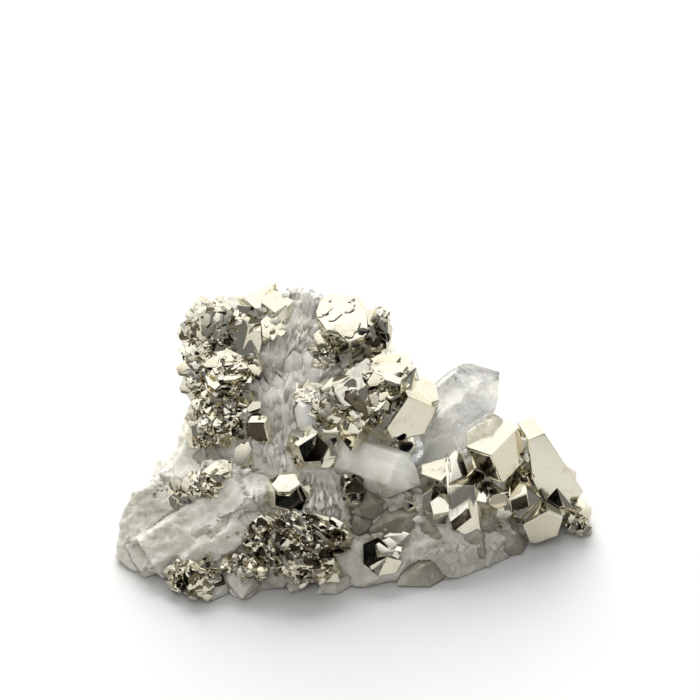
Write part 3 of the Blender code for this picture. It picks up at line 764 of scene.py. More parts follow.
@dataclass
class Groups:
    """Shader node groups that several finishes share."""

    broken_lines: tuple[float, float] = (0.4, 0.6)
    broken_cracks: tuple[float, float] = (0.5, 0.6)

    def __post_init__(self) -> None:
        """Build the groups."""
        self.lines = self._growth_lines()
        self.patches = self._patches()
        self.grain = self._grain()
        self.cracks = self._cracks()

    def _growth_lines(self) -> bpy.types.NodeTree:
        """Fine parallel growth lines, as a height."""
        bench, start, end = new_group("growth_lines", {"Scale": 3.0, "Waver": 1.0}, ("Height",))
        place = start.outputs["Place"]
        wave = bench.add(
            "ShaderNodeTexWave",
            {"Vector": place, "Scale": start.outputs["Scale"], "Distortion": start.outputs["Waver"],
             "Detail": 3.0, "Detail Scale": 0.6},
            wave_profile="SAW",
        )
        broken = bench.noise(place, scale=0.9, detail=2.0)
        share = bench.ramp(broken.outputs["Fac"], *self.broken_lines)
        bench.put(end, {"Height": bench.math("MULTIPLY", wave.outputs["Fac"], share)})
        return bench.tree

    def _patches(self) -> bpy.types.NodeTree:
        """Soft-edged patches, as a mask."""
        bench, start, end = new_group("patches", {"Scale": 0.5, "Cover": 0.5, "Blur": 0.1}, ("Mask",))
        cloud = bench.noise(start.outputs["Place"], start.outputs["Scale"], detail=4.0, roughness=0.6)
        edge, blur = bench.math("SUBTRACT", 1.0, start.outputs["Cover"]), start.outputs["Blur"]
        low, high = bench.math("SUBTRACT", edge, blur), bench.math("ADD", edge, blur)
        bench.put(end, {"Mask": bench.ramp(cloud.outputs["Fac"], low, high)})
        return bench.tree

    def _grain(self) -> bpy.types.NodeTree:
        """Uneven, pitted surface, as a height and a mask of the pits."""
        bench, start, end = new_group("grain", {"Scale": 2.0, "Pits": 0.3}, ("Height", "Pit Mask"))
        place, scale = start.outputs["Place"], start.outputs["Scale"]
        cloud = bench.noise(place, scale, detail=5.0, roughness=0.65)
        cell = bench.add("ShaderNodeTexVoronoi", {"Vector": place, "Scale": scale}, distance="CHEBYCHEV")
        pit = bench.fall(cell.outputs["Distance"], start.outputs["Pits"])
        bench.put(end, {"Height": bench.math("SUBTRACT", cloud.outputs["Fac"], pit), "Pit Mask": pit})
        return bench.tree

    def _cracks(self) -> bpy.types.NodeTree:
        """Thin broken lines, as a mask."""
        bench, start, end = new_group("cracks", {"Scale": 0.4, "Width": 0.02}, ("Mask",))
        place = start.outputs["Place"]
        sway = bench.noise(place, scale=0.8, detail=3.0)
        swayed = bench.add("ShaderNodeVectorMath", {0: sway.outputs["Color"], 1: place}, operation="ADD")
        cell = bench.add(
            "ShaderNodeTexVoronoi", {"Vector": swayed.outputs["Vector"], "Scale": start.outputs["Scale"]},
            feature="DISTANCE_TO_EDGE")
        line = bench.fall(cell.outputs["Distance"], start.outputs["Width"])
        broken = bench.noise(place, scale=0.5, detail=1.0)
        share = bench.ramp(broken.outputs["Fac"], *self.broken_cracks)
        bench.put(end, {"Mask": bench.math("MULTIPLY", line, share)})
        return bench.tree


def new_material(name: str) -> tuple[bpy.types.Material, Bench, bpy.types.Node, bpy.types.NodeSocket]:
    """Start a material.

    Args:
        name: Name of the material.

    Returns:
        The material, a bench on its tree, its Principled node and the place in millimetres.
    """
    material = bpy.data.materials.new(name)
    material.use_nodes = True
    bench = Bench(material.node_tree)
    coordinate = bench.add("ShaderNodeTexCoord")
    mapping = bench.add(
        "ShaderNodeMapping", {"Vector": coordinate.outputs["Object"], "Scale": (1.0 / MM,) * 3})
    return material, bench, material.node_tree.nodes["Principled BSDF"], mapping.outputs["Vector"]


# Finishes


Colour = tuple[float, float, float]


@dataclass(frozen=True)
class PatchLook:
    """Size, cover and soft edge of a finish's patches."""

    scale: float
    cover: float
    blur: float

    def mask(self, bench: Bench, groups: Groups, place: bpy.types.NodeSocket) -> bpy.types.NodeSocket:
        """Place the patches in a material and give their mask."""
        node = bench.group(groups.patches, Place=place, Scale=self.scale, Cover=self.cover, Blur=self.blur)
        return node.outputs["Mask"]


@dataclass(frozen=True)
class PyriteFinish:
    """Metallic pyrite whose facets differ a little in tone, with tarnish, pits and growth lines; the highest
    tone paints a facet near-black, as painted dark reflection and shade.
    """

    name: str
    pale: Colour = (0.92, 0.90, 0.765)
    deep: Colour = (0.87, 0.815, 0.66)
    tarnish: Colour = (0.58, 0.50, 0.37)
    # Near-black of the highest tone: painted dark reflection and shade, not the metal's own colour
    dark: Colour = (0.09, 0.075, 0.05)
    pit: Colour = (0.12, 0.09, 0.06)
    deep_tones: tuple[float, float] = (0.2, 0.8)
    painted_dark_tones: tuple[float, float] = (0.9, 1.0)
    tarnish_cover: float = 0.33
    tarnish_share: float = 0.7
    tarnish_rough: float = 0.08
    pit_share: float = 0.8
    pit_rough: float = 0.3
    roughness: float = 0.07
    line_scale: float = 1.6
    line_waver: float = 0.8
    line_depth: float = 0.005
    grain_depth: float = 0.005
    grain_scale: float = 2.0
    pits: float = 0.08

    def make(self, groups: Groups) -> bpy.types.Material:
        """Build the material.

        Args:
            groups: Shared shader node groups.

        Returns:
            The material.
        """
        material, bench, shader, place = new_material(self.name)
        tone = bench.attribute("tone")
        body = bench.mix(bench.ramp(tone, *self.deep_tones), self.pale, self.deep)
        # Tones at the top of the range are painted near-black: painted dark reflection and shade
        body = bench.mix(bench.ramp(tone, *self.painted_dark_tones), body, self.dark)
        patch = PatchLook(scale=0.55, cover=self.tarnish_cover, blur=0.12).mask(bench, groups, place)
        grain = bench.group(groups.grain, Place=place, Scale=self.grain_scale, Pits=self.pits)
        lines = bench.group(groups.lines, Place=place, Scale=self.line_scale, Waver=self.line_waver)
        pitted = grain.outputs["Pit Mask"]
        stained = bench.mix(bench.math("MULTIPLY", patch, self.tarnish_share), body, self.tarnish)
        colour = bench.mix(bench.math("MULTIPLY", pitted, self.pit_share), stained, self.pit)
        rough = bench.total(self.roughness, patch, self.tarnish_rough)
        rough = bench.total(rough, pitted, self.pit_rough)
        bench.put(shader, {"Base Color": colour, "Roughness": rough, "Metallic": 1.0})
        height = bench.math("MULTIPLY", lines.outputs["Height"], self.line_depth)
        bench.relief(shader, bench.total(height, grain.outputs["Height"], self.grain_depth))
        return material


@dataclass(frozen=True)
class QuartzFinish:
    """Milky quartz: pale and glowing, with streaks along its growth, cracks, dark specks and painted shade.
    """

    name: str
    clear: Colour = (0.86, 0.845, 0.745)
    milk: Colour = (0.98, 0.965, 0.88)
    shade: Colour = (0.58, 0.55, 0.46)
    # Colour towards which the shade attribute darkens the quartz: painted shade
    dark: Colour = (0.36, 0.34, 0.28)
    speck: Colour = (0.22, 0.18, 0.12)
    roughness: float = 0.22
    milk_rough: float = 0.2
    glow: float = 0.0015
    subsurface: float = 0.6
    milky: PatchLook = PatchLook(scale=0.4, cover=0.5, blur=0.25)
    streak: PatchLook = PatchLook(scale=0.9, cover=0.42, blur=0.14)
    uneven: PatchLook = PatchLook(scale=0.9, cover=0.5, blur=0.2)
    drawn: tuple[float, float, float] = (0.22, 1.6, 1.6)
    streaks: float = 0.35
    painted_shade_least: float = 0.6
    painted_shade_more: float = 0.5
    crack: float = 0.3
    crack_scale: float = 0.35
    crack_width: float = 0.018
    crack_depth: float = 0.02
    line_scale: float = 0.9
    line_waver: float = 1.5
    line_depth: float = 0.012
    grain_depth: float = 0.04
    grain_scale: float = 1.8
    specks: float = 0.1
    speck_share: float = 0.7

    def make(self, groups: Groups) -> bpy.types.Material:
        """Build the material.

        Args:
            groups: Shared shader node groups.

        Returns:
            The material.
        """
        material, bench, shader, place = new_material(self.name)
        growth = bench.attribute("growth", "Vector")
        drawn = bench.add("ShaderNodeMapping", {"Vector": growth, "Scale": self.drawn}).outputs["Vector"]
        milky = self.milky.mask(bench, groups, place)
        streak = self.streak.mask(bench, groups, drawn)
        uneven = self.uneven.mask(bench, groups, place)
        grain = bench.group(groups.grain, Place=place, Scale=self.grain_scale, Pits=self.specks)
        lines = bench.group(groups.lines, Place=growth, Scale=self.line_scale, Waver=self.line_waver)
        crack = bench.group(groups.cracks, Place=place, Scale=self.crack_scale, Width=self.crack_width)
        # Painted shade: darken towards the dark colour as the shade attribute says, a little unevenly
        uneven = bench.total(self.painted_shade_least, uneven, self.painted_shade_more)
        zone = bench.math("MULTIPLY", bench.attribute("shade"), uneven)
        colour = bench.mix(milky, self.clear, self.milk)
        colour = bench.mix(bench.math("MULTIPLY", streak, self.streaks), colour, self.shade)
        colour = bench.mix(zone, colour, self.dark)
        cracked = bench.math("MULTIPLY", crack.outputs["Mask"], self.crack)
        colour = bench.mix(cracked, colour, self.speck)
        specked = bench.math("MULTIPLY", grain.outputs["Pit Mask"], self.speck_share)
        colour = bench.mix(specked, colour, self.speck)
        bench.put(shader, {
            "Base Color": colour, "Roughness": bench.total(self.roughness, milky, self.milk_rough),
            "IOR": QUARTZ_IOR, "Subsurface Weight": self.subsurface,
            "Subsurface Radius": (1.0, 1.0, 1.0), "Subsurface Scale": self.glow,
        })
        height = bench.math("MULTIPLY", lines.outputs["Height"], self.line_depth)
        height = bench.total(height, grain.outputs["Height"], self.grain_depth)
        bench.relief(shader, bench.total(height, crack.outputs["Mask"], -self.crack_depth))
        return material


@dataclass(frozen=True)
class ClearFinish:
    """Clear quartz: see-through, clouded in places, with a faint absorption."""

    name: str = "quartz_clear"
    roughness: float = 0.06
    clouding: float = 0.3
    clouded: PatchLook = PatchLook(scale=0.35, cover=0.55, blur=0.2)
    grain_scale: float = 0.9
    grain_depth: float = 0.15
    pits: float = 0.02
    absorption: Colour = (0.96, 0.96, 0.94)
    density: float = 15.0

    def make(self, groups: Groups) -> bpy.types.Material:
        """Build the material.

        Args:
            groups: Shared shader node groups.

        Returns:
            The material.
        """
        material, bench, shader, place = new_material(self.name)
        clouded = self.clouded.mask(bench, groups, place)
        bench.put(shader, {
            "Base Color": (1.0, 1.0, 1.0, 1.0), "IOR": QUARTZ_IOR, "Transmission Weight": 1.0,
            "Roughness": bench.total(self.roughness, clouded, self.clouding),
        })
        grain = bench.group(groups.grain, Place=place, Scale=self.grain_scale, Pits=self.pits)
        bench.relief(shader, grain.outputs["Height"], self.grain_depth * MM)
        volume = bench.add(
            "ShaderNodeVolumeAbsorption", {"Color": (*self.absorption, 1.0), "Density": self.density})
        bench.put(material.node_tree.nodes["Material Output"], {"Volume": volume.outputs[0]})
        return material


@dataclass(frozen=True)
class VeilFinish:
    """White veils inside clear quartz, broken into patches."""

    name: str = "quartz_veils"
    white: Colour = (0.98, 0.98, 0.95)
    roughness: float = 0.6
    broken: PatchLook = PatchLook(scale=0.6, cover=0.5, blur=0.15)
    most: float = 0.85

    def make(self, groups: Groups) -> bpy.types.Material:
        """Build the material.

        Args:
            groups: Shared shader node groups.

        Returns:
            The material.
        """
        material, bench, shader, place = new_material(self.name)
        alpha = bench.math("MULTIPLY", self.broken.mask(bench, groups, place), self.most)
        bench.put(shader, {"Base Color": (*self.white, 1.0), "Roughness": self.roughness, "Alpha": alpha})
        return material


@dataclass(frozen=True)
class FloorFinish:
    """Plain pale floor, a little darker where it is mirrored or lights the specimen."""

    name: str = "floor"
    shown: Colour = (0.56, 0.553, 0.545)
    mirrored: Colour = (0.42, 0.413, 0.395)
    roughness: float = 0.9
    sheen: float = 0.1

    def make(self) -> bpy.types.Material:
        """Build the material."""
        material = bpy.data.materials.new(self.name)
        material.use_nodes = True
        bench = Bench(material.node_tree)
        seen = bench.add("ShaderNodeLightPath").outputs["Is Camera Ray"]
        bench.put(material.node_tree.nodes["Principled BSDF"], {
            "Base Color": bench.mix(seen, self.mirrored, self.shown), "Roughness": self.roughness,
            "Specular IOR Level": self.sheen,
        })
        return material


# Crystals


@dataclass(frozen=True)
class Prism:
    """Six-sided quartz crystal from foot to tip, in the view's columns, rows and proudness.

    Flat squeezes one pair of its sides, and skew moves every second tip face outward. The ends of
    a crystal in the world are in millimetres from the view's base centre.
    """

    foot: tuple[float, float, float]
    tip: tuple[float, float, float]
    width: float
    roll: float = 0.0
    flat: float = 1.0
    skew: float = 0.0
    in_world: bool = False

    sides: ClassVar[int] = 6
    tip_angle: ClassVar[float] = math.radians(51.8)
    growth: ClassVar[float] = 0.1
    lowest: ClassVar[float] = 0.1
    weld: ClassVar[float] = 0.004
    thin_shift: ClassVar[tuple[float, float]] = (0.3, 0.4)
    thin_length: ClassVar[tuple[float, float]] = (0.72, 1.0)
    thin_wander: ClassVar[tuple[float, float, float]] = (2.0, 1.0, 0.15)
    thin_width: ClassVar[tuple[float, float]] = (0.22, 0.42)
    thin_flat: ClassVar[tuple[float, float]] = (0.7, 1.0)
    thin_skew: ClassVar[float] = 0.15

    @property
    def side_turn(self) -> float:
        """Angle in degrees from one side to the next."""
        return 360.0 / self.sides

    def ends(self) -> tuple[Vector, Vector]:
        """Foot and tip in the world, in millimetres."""
        if self.in_world:
            centre = Vector(VIEW.base_centre)
            return Vector(self.foot) + centre, Vector(self.tip) + centre
        return VIEW.world(VIEW.seen(*self.foot)), VIEW.world(VIEW.seen(*self.tip))

    def frame(self) -> tuple[Vector, Matrix]:
        """Foot, and the rows along, across and aside of the crystal."""
        foot, tip = self.ends()
        axis = (tip - foot).normalized()
        reference = Vector((0.0, 0.0, 1.0)) if self.in_world else VIEW.eye
        side = axis.cross(reference).normalized()
        return foot, Matrix((axis, side, axis.cross(side)))

    def split(self, count: int, chance: random.Random) -> list["Prism"]:
        """Thinner crystals side by side in this one's place.

        Args:
            count: How many.
            chance: Source of chance.

        Returns:
            The thinner crystals.
        """
        reach = self.width / 2 / VIEW.mm_per_pixel
        up, near = self.thin_shift
        found = []
        for _ in range(count):
            turn, out = chance.uniform(0.0, math.tau), math.sqrt(chance.random())
            shift = (math.cos(turn) * out * reach, up * math.sin(turn) * out * reach,
                     math.sin(turn) * out * self.width * near)
            share = chance.uniform(*self.thin_length)
            foot = tuple(place + move for place, move in zip(self.foot, shift))
            tip = tuple(
                start + (end - start) * share + move + chance.gauss(0.0, wander)
                for start, end, move, wander in zip(self.foot, self.tip, shift, self.thin_wander))
            width = self.width * chance.uniform(*self.thin_width)
            roll = chance.uniform(0.0, self.side_turn)
            flat = chance.uniform(*self.thin_flat)
            found.append(Prism(foot, tip, width, roll, flat, width * self.thin_skew))
        return found

    def planes(self) -> list[tuple[Vector, Vector]]:
        """Outward normals of sides and tip faces, each with a place on it."""
        tip = self.ends()[1]
        axis, side, _ = self.frame()[1]
        found = []
        for count in range(self.sides):
            turn = math.radians(self.roll + self.side_turn * count)
            normal = Matrix.Rotation(turn, 3, axis) @ side
            # Two opposite sides, half of all sides apart, are squeezed
            squeeze = self.flat if count % (self.sides // 2) == 1 else 1.0
            found.append((normal, tip + normal * (self.width / 2 * squeeze + self.growth)))
            slope = normal * math.sin(self.tip_angle) + axis * math.cos(self.tip_angle)
            outward = self.skew if count % 2 else 0.0
            found.append((slope, tip + slope * (outward + self.growth)))
        return found

    def model(self, name: str) -> bpy.types.Object:
        """Cut the crystal from a long block.

        Args:
            name: Name of the object.

        Returns:
            The crystal, in millimetres.
        """
        foot, tip = self.ends()
        deselect()
        bpy.ops.mesh.primitive_cube_add(size=2.0, location=(0.0, 0.0, 0.0))
        crystal = bpy.context.active_object
        crystal.name = name
        length = (tip - foot).length
        turn = (tip - foot).to_track_quat("Z", "Y").to_matrix().to_4x4()
        past = Matrix.Translation((0.0, 0.0, self.width))
        stretch = Matrix.Diagonal((self.width, self.width, length / 2 + self.width, 1.0))
        crystal.data.transform(Matrix.Translation((foot + tip) / 2) @ turn @ past @ stretch)
        with editing(crystal):
            for normal, place in self.planes():
                cut(place, normal)
            cut(Vector((0.0, 0.0, self.lowest)), Vector((0.0, 0.0, -1.0)))
            bpy.ops.mesh.select_all(action="SELECT")
            bpy.ops.mesh.remove_doubles(threshold=self.weld)
            bpy.ops.mesh.normals_make_consistent(inside=False)
        return crystal


@dataclass
class QuartzPoints:
    """A named group of quartz crystals that grew together."""

    name: str
    prisms: list[Prism]
    bevel: float = 0.06
    bevel_angle: float = 18.0
    wobble: float = 0.10
    wobble_size: float = 1.1
    wobble_depth: int = 3
    split: int = 0
    detail: int = 3
    seed: int = 60

    def model(self) -> bpy.types.Object:
        """Model and join the group's crystals, with softened edges and uneven sides."""
        prisms = self.prisms
        if self.split:
            chance = random.Random(self.seed)
            prisms = [thin for prism in prisms for thin in prism.split(self.split, chance)]
        group = join([prism.model(self.name) for prism in prisms], self.name)
        bevel(group, self.bevel, self.bevel_angle)
        finer = group.modifiers.new("finer", "SUBSURF")
        finer.subdivision_type = "SIMPLE"
        finer.levels = self.detail
        finer.render_levels = self.detail
        apply_modifiers(group)
        texture = clouds(self.name, self.wobble_size, self.wobble_depth)
        displace(group, self.wobble, texture=texture, middle=CLOUD_MIDDLE)
        apply_modifiers(group)
        give_growth(group, [prism.frame() for prism in prisms])
        return group


QUARTZ_GROUPS = [
    QuartzPoints("quartz_long_prism", [
        Prism((140, 562, -1.7), (268, 478, 1.0), 5.0, 12, 0.8, 0.5),
        Prism((165, 536, -1.6), (252, 480, 0.9), 2.6, 40, 0.8, 0.4),
        Prism((176, 566, -1.6), (262, 505, 0.7), 3.0, 25, 0.9, 0.4),
        Prism((205, 570, -1.8), (272, 522, 0.5), 3.2, 5, 0.9, 0.4),
    ], bevel=0.16, wobble=0.4),
    QuartzPoints("quartz_left_point", [
        Prism((170, 552, -1.0), (150, 566, 1.6), 2.4, 10),
    ]),
    QuartzPoints("quartz_pale_crystal", [
        Prism((330, 452, -1.6), (420, 483, 2.0), 5.2, 18, 0.85, 0.6),
    ], bevel=0.15),
    QuartzPoints("quartz_columns", [
        Prism((300, 390, -3.0), (298, 337, 0.7), 4.8),
        Prism((286, 470, -2.6), (270, 372, 0.7), 4.6),
        Prism((312, 470, -2.4), (296, 376, 0.5), 4.8),
        Prism((258, 474, -2.2), (262, 425, 0.7), 3.6),
        Prism((330, 470, -2.0), (318, 512, 1.3), 3.0),
        Prism((338, 474, -2.0), (340, 520, 1.4), 2.6),
    ], bevel=0.04, wobble=0.08, split=6, detail=1),
    QuartzPoints("quartz_top_points", [
        Prism((300, 325, -3.0), (303, 285, -0.2), 3.0),
        Prism((308, 332, -2.6), (320, 292, -0.3), 2.6),
        Prism((290, 325, -2.8), (288, 286, -0.5), 2.6),
        Prism((314, 345, -2.2), (330, 326, 0.6), 2.4),
    ], bevel=0.04, wobble=0.08, split=9, detail=1, seed=61),
    QuartzPoints("quartz_grey_points", [
        Prism((352, 352, -2.8), (364, 345, 0.9), 2.6, 20),
        Prism((402, 490, -1.2), (430, 476, 1.7), 2.4, 25),
        Prism((208, 440, -2.4), (226, 402, 0.7), 3.4, 12),
        Prism((214, 466, -2.6), (206, 438, 0.6), 3.2, 33),
    ]),
    QuartzPoints("quartz_rim_points", [
        Prism((243, 560, -1.6), (243, 596, 0.9), 3.2, 12),
        Prism((222, 572, -1.8), (212, 600, 0.1), 2.6, 28),
        Prism((237, 548, -1.2), (256, 580, 0.3), 2.4, 15),
        Prism((345, 580, -1.4), (318, 592, 0.2), 2.6, 8),
        Prism((300, 575, -1.6), (290, 590, 0.2), 2.4, 8),
    ]),
    QuartzPoints("quartz_shaded_points", [
        Prism((420, 520, -1.8), (370, 530, 1.4), 4.2, 20),
        Prism((456, 516, -1.6), (412, 545, 0.7), 4.0, 36, 0.9),
        Prism((372, 500, -1.8), (350, 540, 0.4), 3.0, 20, 0.9),
        Prism((395, 500, -1.4), (352, 512, 1.0), 3.2, 8),
        Prism((470, 530, -1.6), (498, 508, 1.1), 3.0, 16),
        Prism((440, 560, -1.8), (398, 584, 0.4), 4.0, 10),
        Prism((452, 520, -1.8), (484, 556, 0.9), 3.2, 12),
        Prism((520, 560, -1.8), (497, 528, 0.8), 2.8, 20),
    ]),
    QuartzPoints("quartz_back_points", [
        Prism((-9.0, 0.0, 9.0), (-12.5, 7.0, 15.0), 4.0, 10, in_world=True),
        Prism((-4.0, 0.0, 8.0), (-3.0, 8.5, 12.5), 3.6, 25, in_world=True),
        Prism((-12.0, 0.0, 5.0), (-17.5, 6.0, 7.5), 3.4, 5, in_world=True),
        Prism((2.0, 0.0, 4.0), (5.5, 6.0, 6.0), 3.2, 18, in_world=True),
        Prism((9.0, -3.0, 3.0), (13.5, 2.5, 6.0), 2.8, 30, in_world=True),
    ]),
]


@dataclass
class QuartzBody:
    """Rough quartz that holds the specimen together, closed up around the pyrite."""

    name: str = "quartz_body"
    voxel: float = 0.27
    swell: float = 0.22
    smoothing: int = 2
    pyrite_reach: float = 0.36
    bare_reach: float = 0.06
    bare_fade: float = 0.22
    crystal_reach: float = 0.2
    foot_height: float = 0.4
    sink: float = 0.55
    block_size: float = 1.3
    block_depth: float = 0.5
    block_middle: float = 0.45
    grit_size: float = 0.45
    grit_depth: float = 0.16
    column_size: float = 0.5
    column_depth: float = 0.36
    column_middle: float = 0.4
    column_drawn: float = 8.0
    column_area: tuple[float, float, float, float] = (240.0, 350.0, 325.0, 525.0)
    column_fade: float = 15.0
    fibre_size: float = 0.28
    fibre_drawn: float = 3.0
    noise_depth: int = 3
    keep: float = 0.7

    def weigh_parts(self, body: bpy.types.Object, bare: BVHTree, covered: BVHTree, points: BVHTree) -> None:
        """Weigh what is sunk under other pieces, what is rough and what is columnar.

        Args:
            body: The melted body, in millimetres.
            bare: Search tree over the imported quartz.
            covered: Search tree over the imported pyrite.
            points: Search tree over the quartz crystals.
        """
        sunk, rough, columns = [], [], []
        left, right, top, bottom = self.column_area
        for vert in body.data.vertices:
            to_bare = bare.find_nearest(vert.co)[3]
            to_pyrite = covered.find_nearest(vert.co)[3]
            place, normal, _, to_point = points.find_nearest(vert.co)
            under = 0.0
            if to_pyrite < self.pyrite_reach:
                under = clamp((to_bare - self.bare_reach) / self.bare_fade)
            if to_point < self.crystal_reach or (vert.co - place).dot(normal) < 0.0:
                under = 1.0
            sunk.append(under)
            column, row = VIEW.pixel(vert.co)
            inward = min(column - left, right - column, row - top, bottom - row)
            share = clamp(inward / self.column_fade)
            open_share = 1.0 - under if vert.co.z > self.foot_height else 0.0
            columns.append(open_share * share)
            rough.append(open_share * (1.0 - share))
        weigh(body, "sunk", sunk)
        weigh(body, "rough", rough)
        weigh(body, "columns", columns)

    def model(self, nodes: dict[str, bpy.types.Object], crystals: list[bpy.types.Object]) -> bpy.types.Object:
        """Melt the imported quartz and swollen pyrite, then sink what other pieces cover.

        Args:
            nodes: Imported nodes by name.
            crystals: Quartz crystals that stand on the body, in millimetres.

        Returns:
            The body, in millimetres.
        """
        body = node_copy(nodes[QUARTZ_NODE], self.name)
        bare = tree_of([body])
        pyrite = pyrite_copies(nodes, "filler")
        covered = tree_of(pyrite)
        for filler in pyrite:
            displace(filler, self.swell)
            apply_modifiers(filler)
        body = join([body, *pyrite], self.name)
        remesh(body, self.voxel)
        body.modifiers.new("smooth", "SMOOTH").iterations = self.smoothing
        apply_modifiers(body)
        self.weigh_parts(body, bare, covered, tree_of(crystals))
        columns = cells("columns", self.column_size)
        displace_drawn(body, self.column_depth, "columns", columns, self.column_middle, self.column_drawn)
        fibres = clouds("fibres", self.fibre_size, self.noise_depth)
        displace_drawn(body, self.grit_depth, "columns", fibres, CLOUD_MIDDLE, self.fibre_drawn)
        displace(body, -self.sink, "sunk")
        displace(body, self.block_depth, "rough", cells("blocks", self.block_size), self.block_middle)
        grit = clouds("grit", self.grit_size, self.noise_depth)
        displace(body, self.grit_depth, "rough", grit, CLOUD_MIDDLE)
        thin_out(body, self.keep)
        apply_modifiers(body)
        body.vertex_groups.clear()
        across, up, near = VIEW.turn.transposed()
        give_growth(body, [(Vector(), Matrix((up, across, near)))])
        return body


@dataclass(frozen=True)
class Stand(Round):
    """Round stretch of the view in which small quartz crystals stand, leaning one way."""

    count: int
    around: float = 90.0
    tilt: float = 50.0
    spread: float = 0.25
    length: tuple[float, float] = (1.4, 3.4)
    width: tuple[float, float] = (0.3, 0.75)
    sunk: float = 0.35


@dataclass
class QuartzDruse:
    """Small quartz crystals that stand on the body between the pyrite."""

    name: str
    stands: list[Stand]
    top: float = 0.4
    tip_length: float = 0.32
    tip_size: tuple[float, float] = (0.1, 0.16)
    least_seen: float = 0.1
    least_height: float = 1.2
    pyrite_gap: float = 0.5
    upright: float = 0.5
    flat: tuple[float, float] = (0.7, 1.0)
    seed: int = 40

    def point(self) -> bpy.types.Object:
        """Model one small six-sided crystal, of unit width and length, that stands on the origin."""
        deselect()
        bpy.ops.mesh.primitive_cylinder_add(vertices=6, radius=0.5, depth=1.0, location=(0.0, 0.0, 0.0))
        crystal = bpy.context.active_object
        with editing(crystal):
            select_faces(crystal, lambda face: face.calc_center_median().z > self.top)
            bpy.ops.mesh.extrude_region_move(TRANSFORM_OT_translate={"value": (0.0, 0.0, self.tip_length)})
            bpy.ops.transform.resize(value=(*self.tip_size, 1.0))
        return crystal

    def model(self, body: bpy.types.Object, pyrite: BVHTree) -> bpy.types.Object:
        """Stand copies of the small crystal on the body, clear of the pyrite.

        Args:
            body: The rough quartz, in millimetres.
            pyrite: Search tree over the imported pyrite.

        Returns:
            All copies as one object, in millimetres.
        """
        chance = random.Random(self.seed)
        point = self.point()
        copies = Copies(point)
        bpy.data.objects.remove(point)
        eye = VIEW.eye
        seats = [
            (face.center.copy(), face.normal.copy(), VIEW.pixel(face.center)) for face in body.data.polygons
            if face.normal.dot(eye) > self.least_seen and face.center.z > self.least_height
            and pyrite.find_nearest(face.center)[3] > self.pyrite_gap
        ]
        growth: list[float] = []
        for stand in self.stands:
            near = [seat for seat in seats if stand.away(*seat[2]) < stand.radius]
            if not near:
                continue
            lead = VIEW.turn @ facing(stand.around, stand.tilt)
            for centre, normal, _ in chance.choices(near, k=stand.count):
                jitter = Vector([chance.gauss(0.0, stand.spread) for _ in range(3)])
                axis = (lead + normal * self.upright + jitter).normalized()
                length = chance.uniform(*stand.length)
                width = chance.uniform(*stand.width)
                roll = Matrix.Rotation(chance.uniform(0.0, 1.0), 3, "Z")
                turn = axis.to_track_quat("Z", "Y").to_matrix() @ roll
                scale = Matrix.Diagonal((width, width * chance.uniform(*self.flat), length))
                apart = Vector((len(copies.places), 0.0, 0.0))
                copies.add(centre - axis * length * stand.sunk, turn, scale)
                for corner in copies.shape:
                    grown = scale @ corner + apart
                    growth.extend((grown.z, grown.x, grown.y))
        druse = mesh_object(self.name, copies.places, copies.faces)
        store(druse, "growth", "FLOAT_VECTOR", "POINT", growth)
        return druse


@dataclass
class ClearCrystal:
    """Large clear crystal with white veils inside."""

    name: str = "quartz_clear_crystal"
    flat_angle: float = 1.0
    bevel: float = 0.14
    bevel_angle: float = 20.0
    bevel_steps: int = 3
    foot: tuple[float, float, float] = (400, 458, -2.6)
    tip: tuple[float, float, float] = (500, 372, 1.4)
    veil_length: float = 11.0
    veil_width: float = 4.6
    veil_bend: float = 1.6
    bend_size: float = 2.4
    bend_depth: int = 2
    veil_places: tuple[tuple[float, float], ...] = ((0.40, 20.0), (0.55, 75.0), (0.75, -35.0))
    veil_steps: tuple[int, int] = (36, 18)
    inside: float = 0.25

    def model(self, nodes: dict[str, bpy.types.Object]) -> bpy.types.Object:
        """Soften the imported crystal's edges.

        Args:
            nodes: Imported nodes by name.

        Returns:
            The crystal, in millimetres.
        """
        crystal = node_copy(nodes[CLEAR_NODE], self.name)
        with editing(crystal):
            bpy.ops.mesh.dissolve_limited(angle_limit=math.radians(self.flat_angle))
        bevel(crystal, self.bevel, self.bevel_angle, self.bevel_steps)
        apply_modifiers(crystal)
        return crystal

    def veils(self, crystal: bpy.types.Object) -> bpy.types.Object:
        """Model bent sheets along the crystal and keep what lies inside it.

        Args:
            crystal: The clear crystal, in millimetres.

        Returns:
            The sheets as one object, in millimetres.
        """
        walls = tree_of([crystal])
        foot, rows = Prism(self.foot, self.tip, self.veil_width).frame()
        length = (VIEW.world(VIEW.seen(*self.tip)) - foot).length
        across, along = self.veil_steps
        sheets = []
        for share, turn in self.veil_places:
            deselect()
            bpy.ops.mesh.primitive_grid_add(x_subdivisions=across, y_subdivisions=along, size=1.0)
            sheet = bpy.context.active_object
            stretch = Matrix.Diagonal((self.veil_length, self.veil_width, 1.0, 1.0))
            lie = rows.transposed().to_4x4() @ Matrix.Rotation(math.radians(turn), 4, "X")
            sheet.data.transform(
                Matrix.Translation(foot + rows[0] * length * share) @ lie @ stretch)
            texture = clouds("veil", self.bend_size, self.bend_depth)
            displace(sheet, self.veil_bend, texture=texture, middle=CLOUD_MIDDLE)
            apply_modifiers(sheet)
            sheets.append(sheet)
        veils = join(sheets, "quartz_veils")
        with editing(veils):
            bpy.ops.mesh.select_all(action="DESELECT")
            mesh = bmesh.from_edit_mesh(veils.data)
            for vert in mesh.verts:
                near, _, _, gap = walls.find_nearest(vert.co)
                vert.select_set(near is None or gap < self.inside or not is_inside(walls, vert.co))
            bmesh.update_edit_mesh(veils.data)
            bpy.ops.mesh.delete(type="VERT")
        return veils


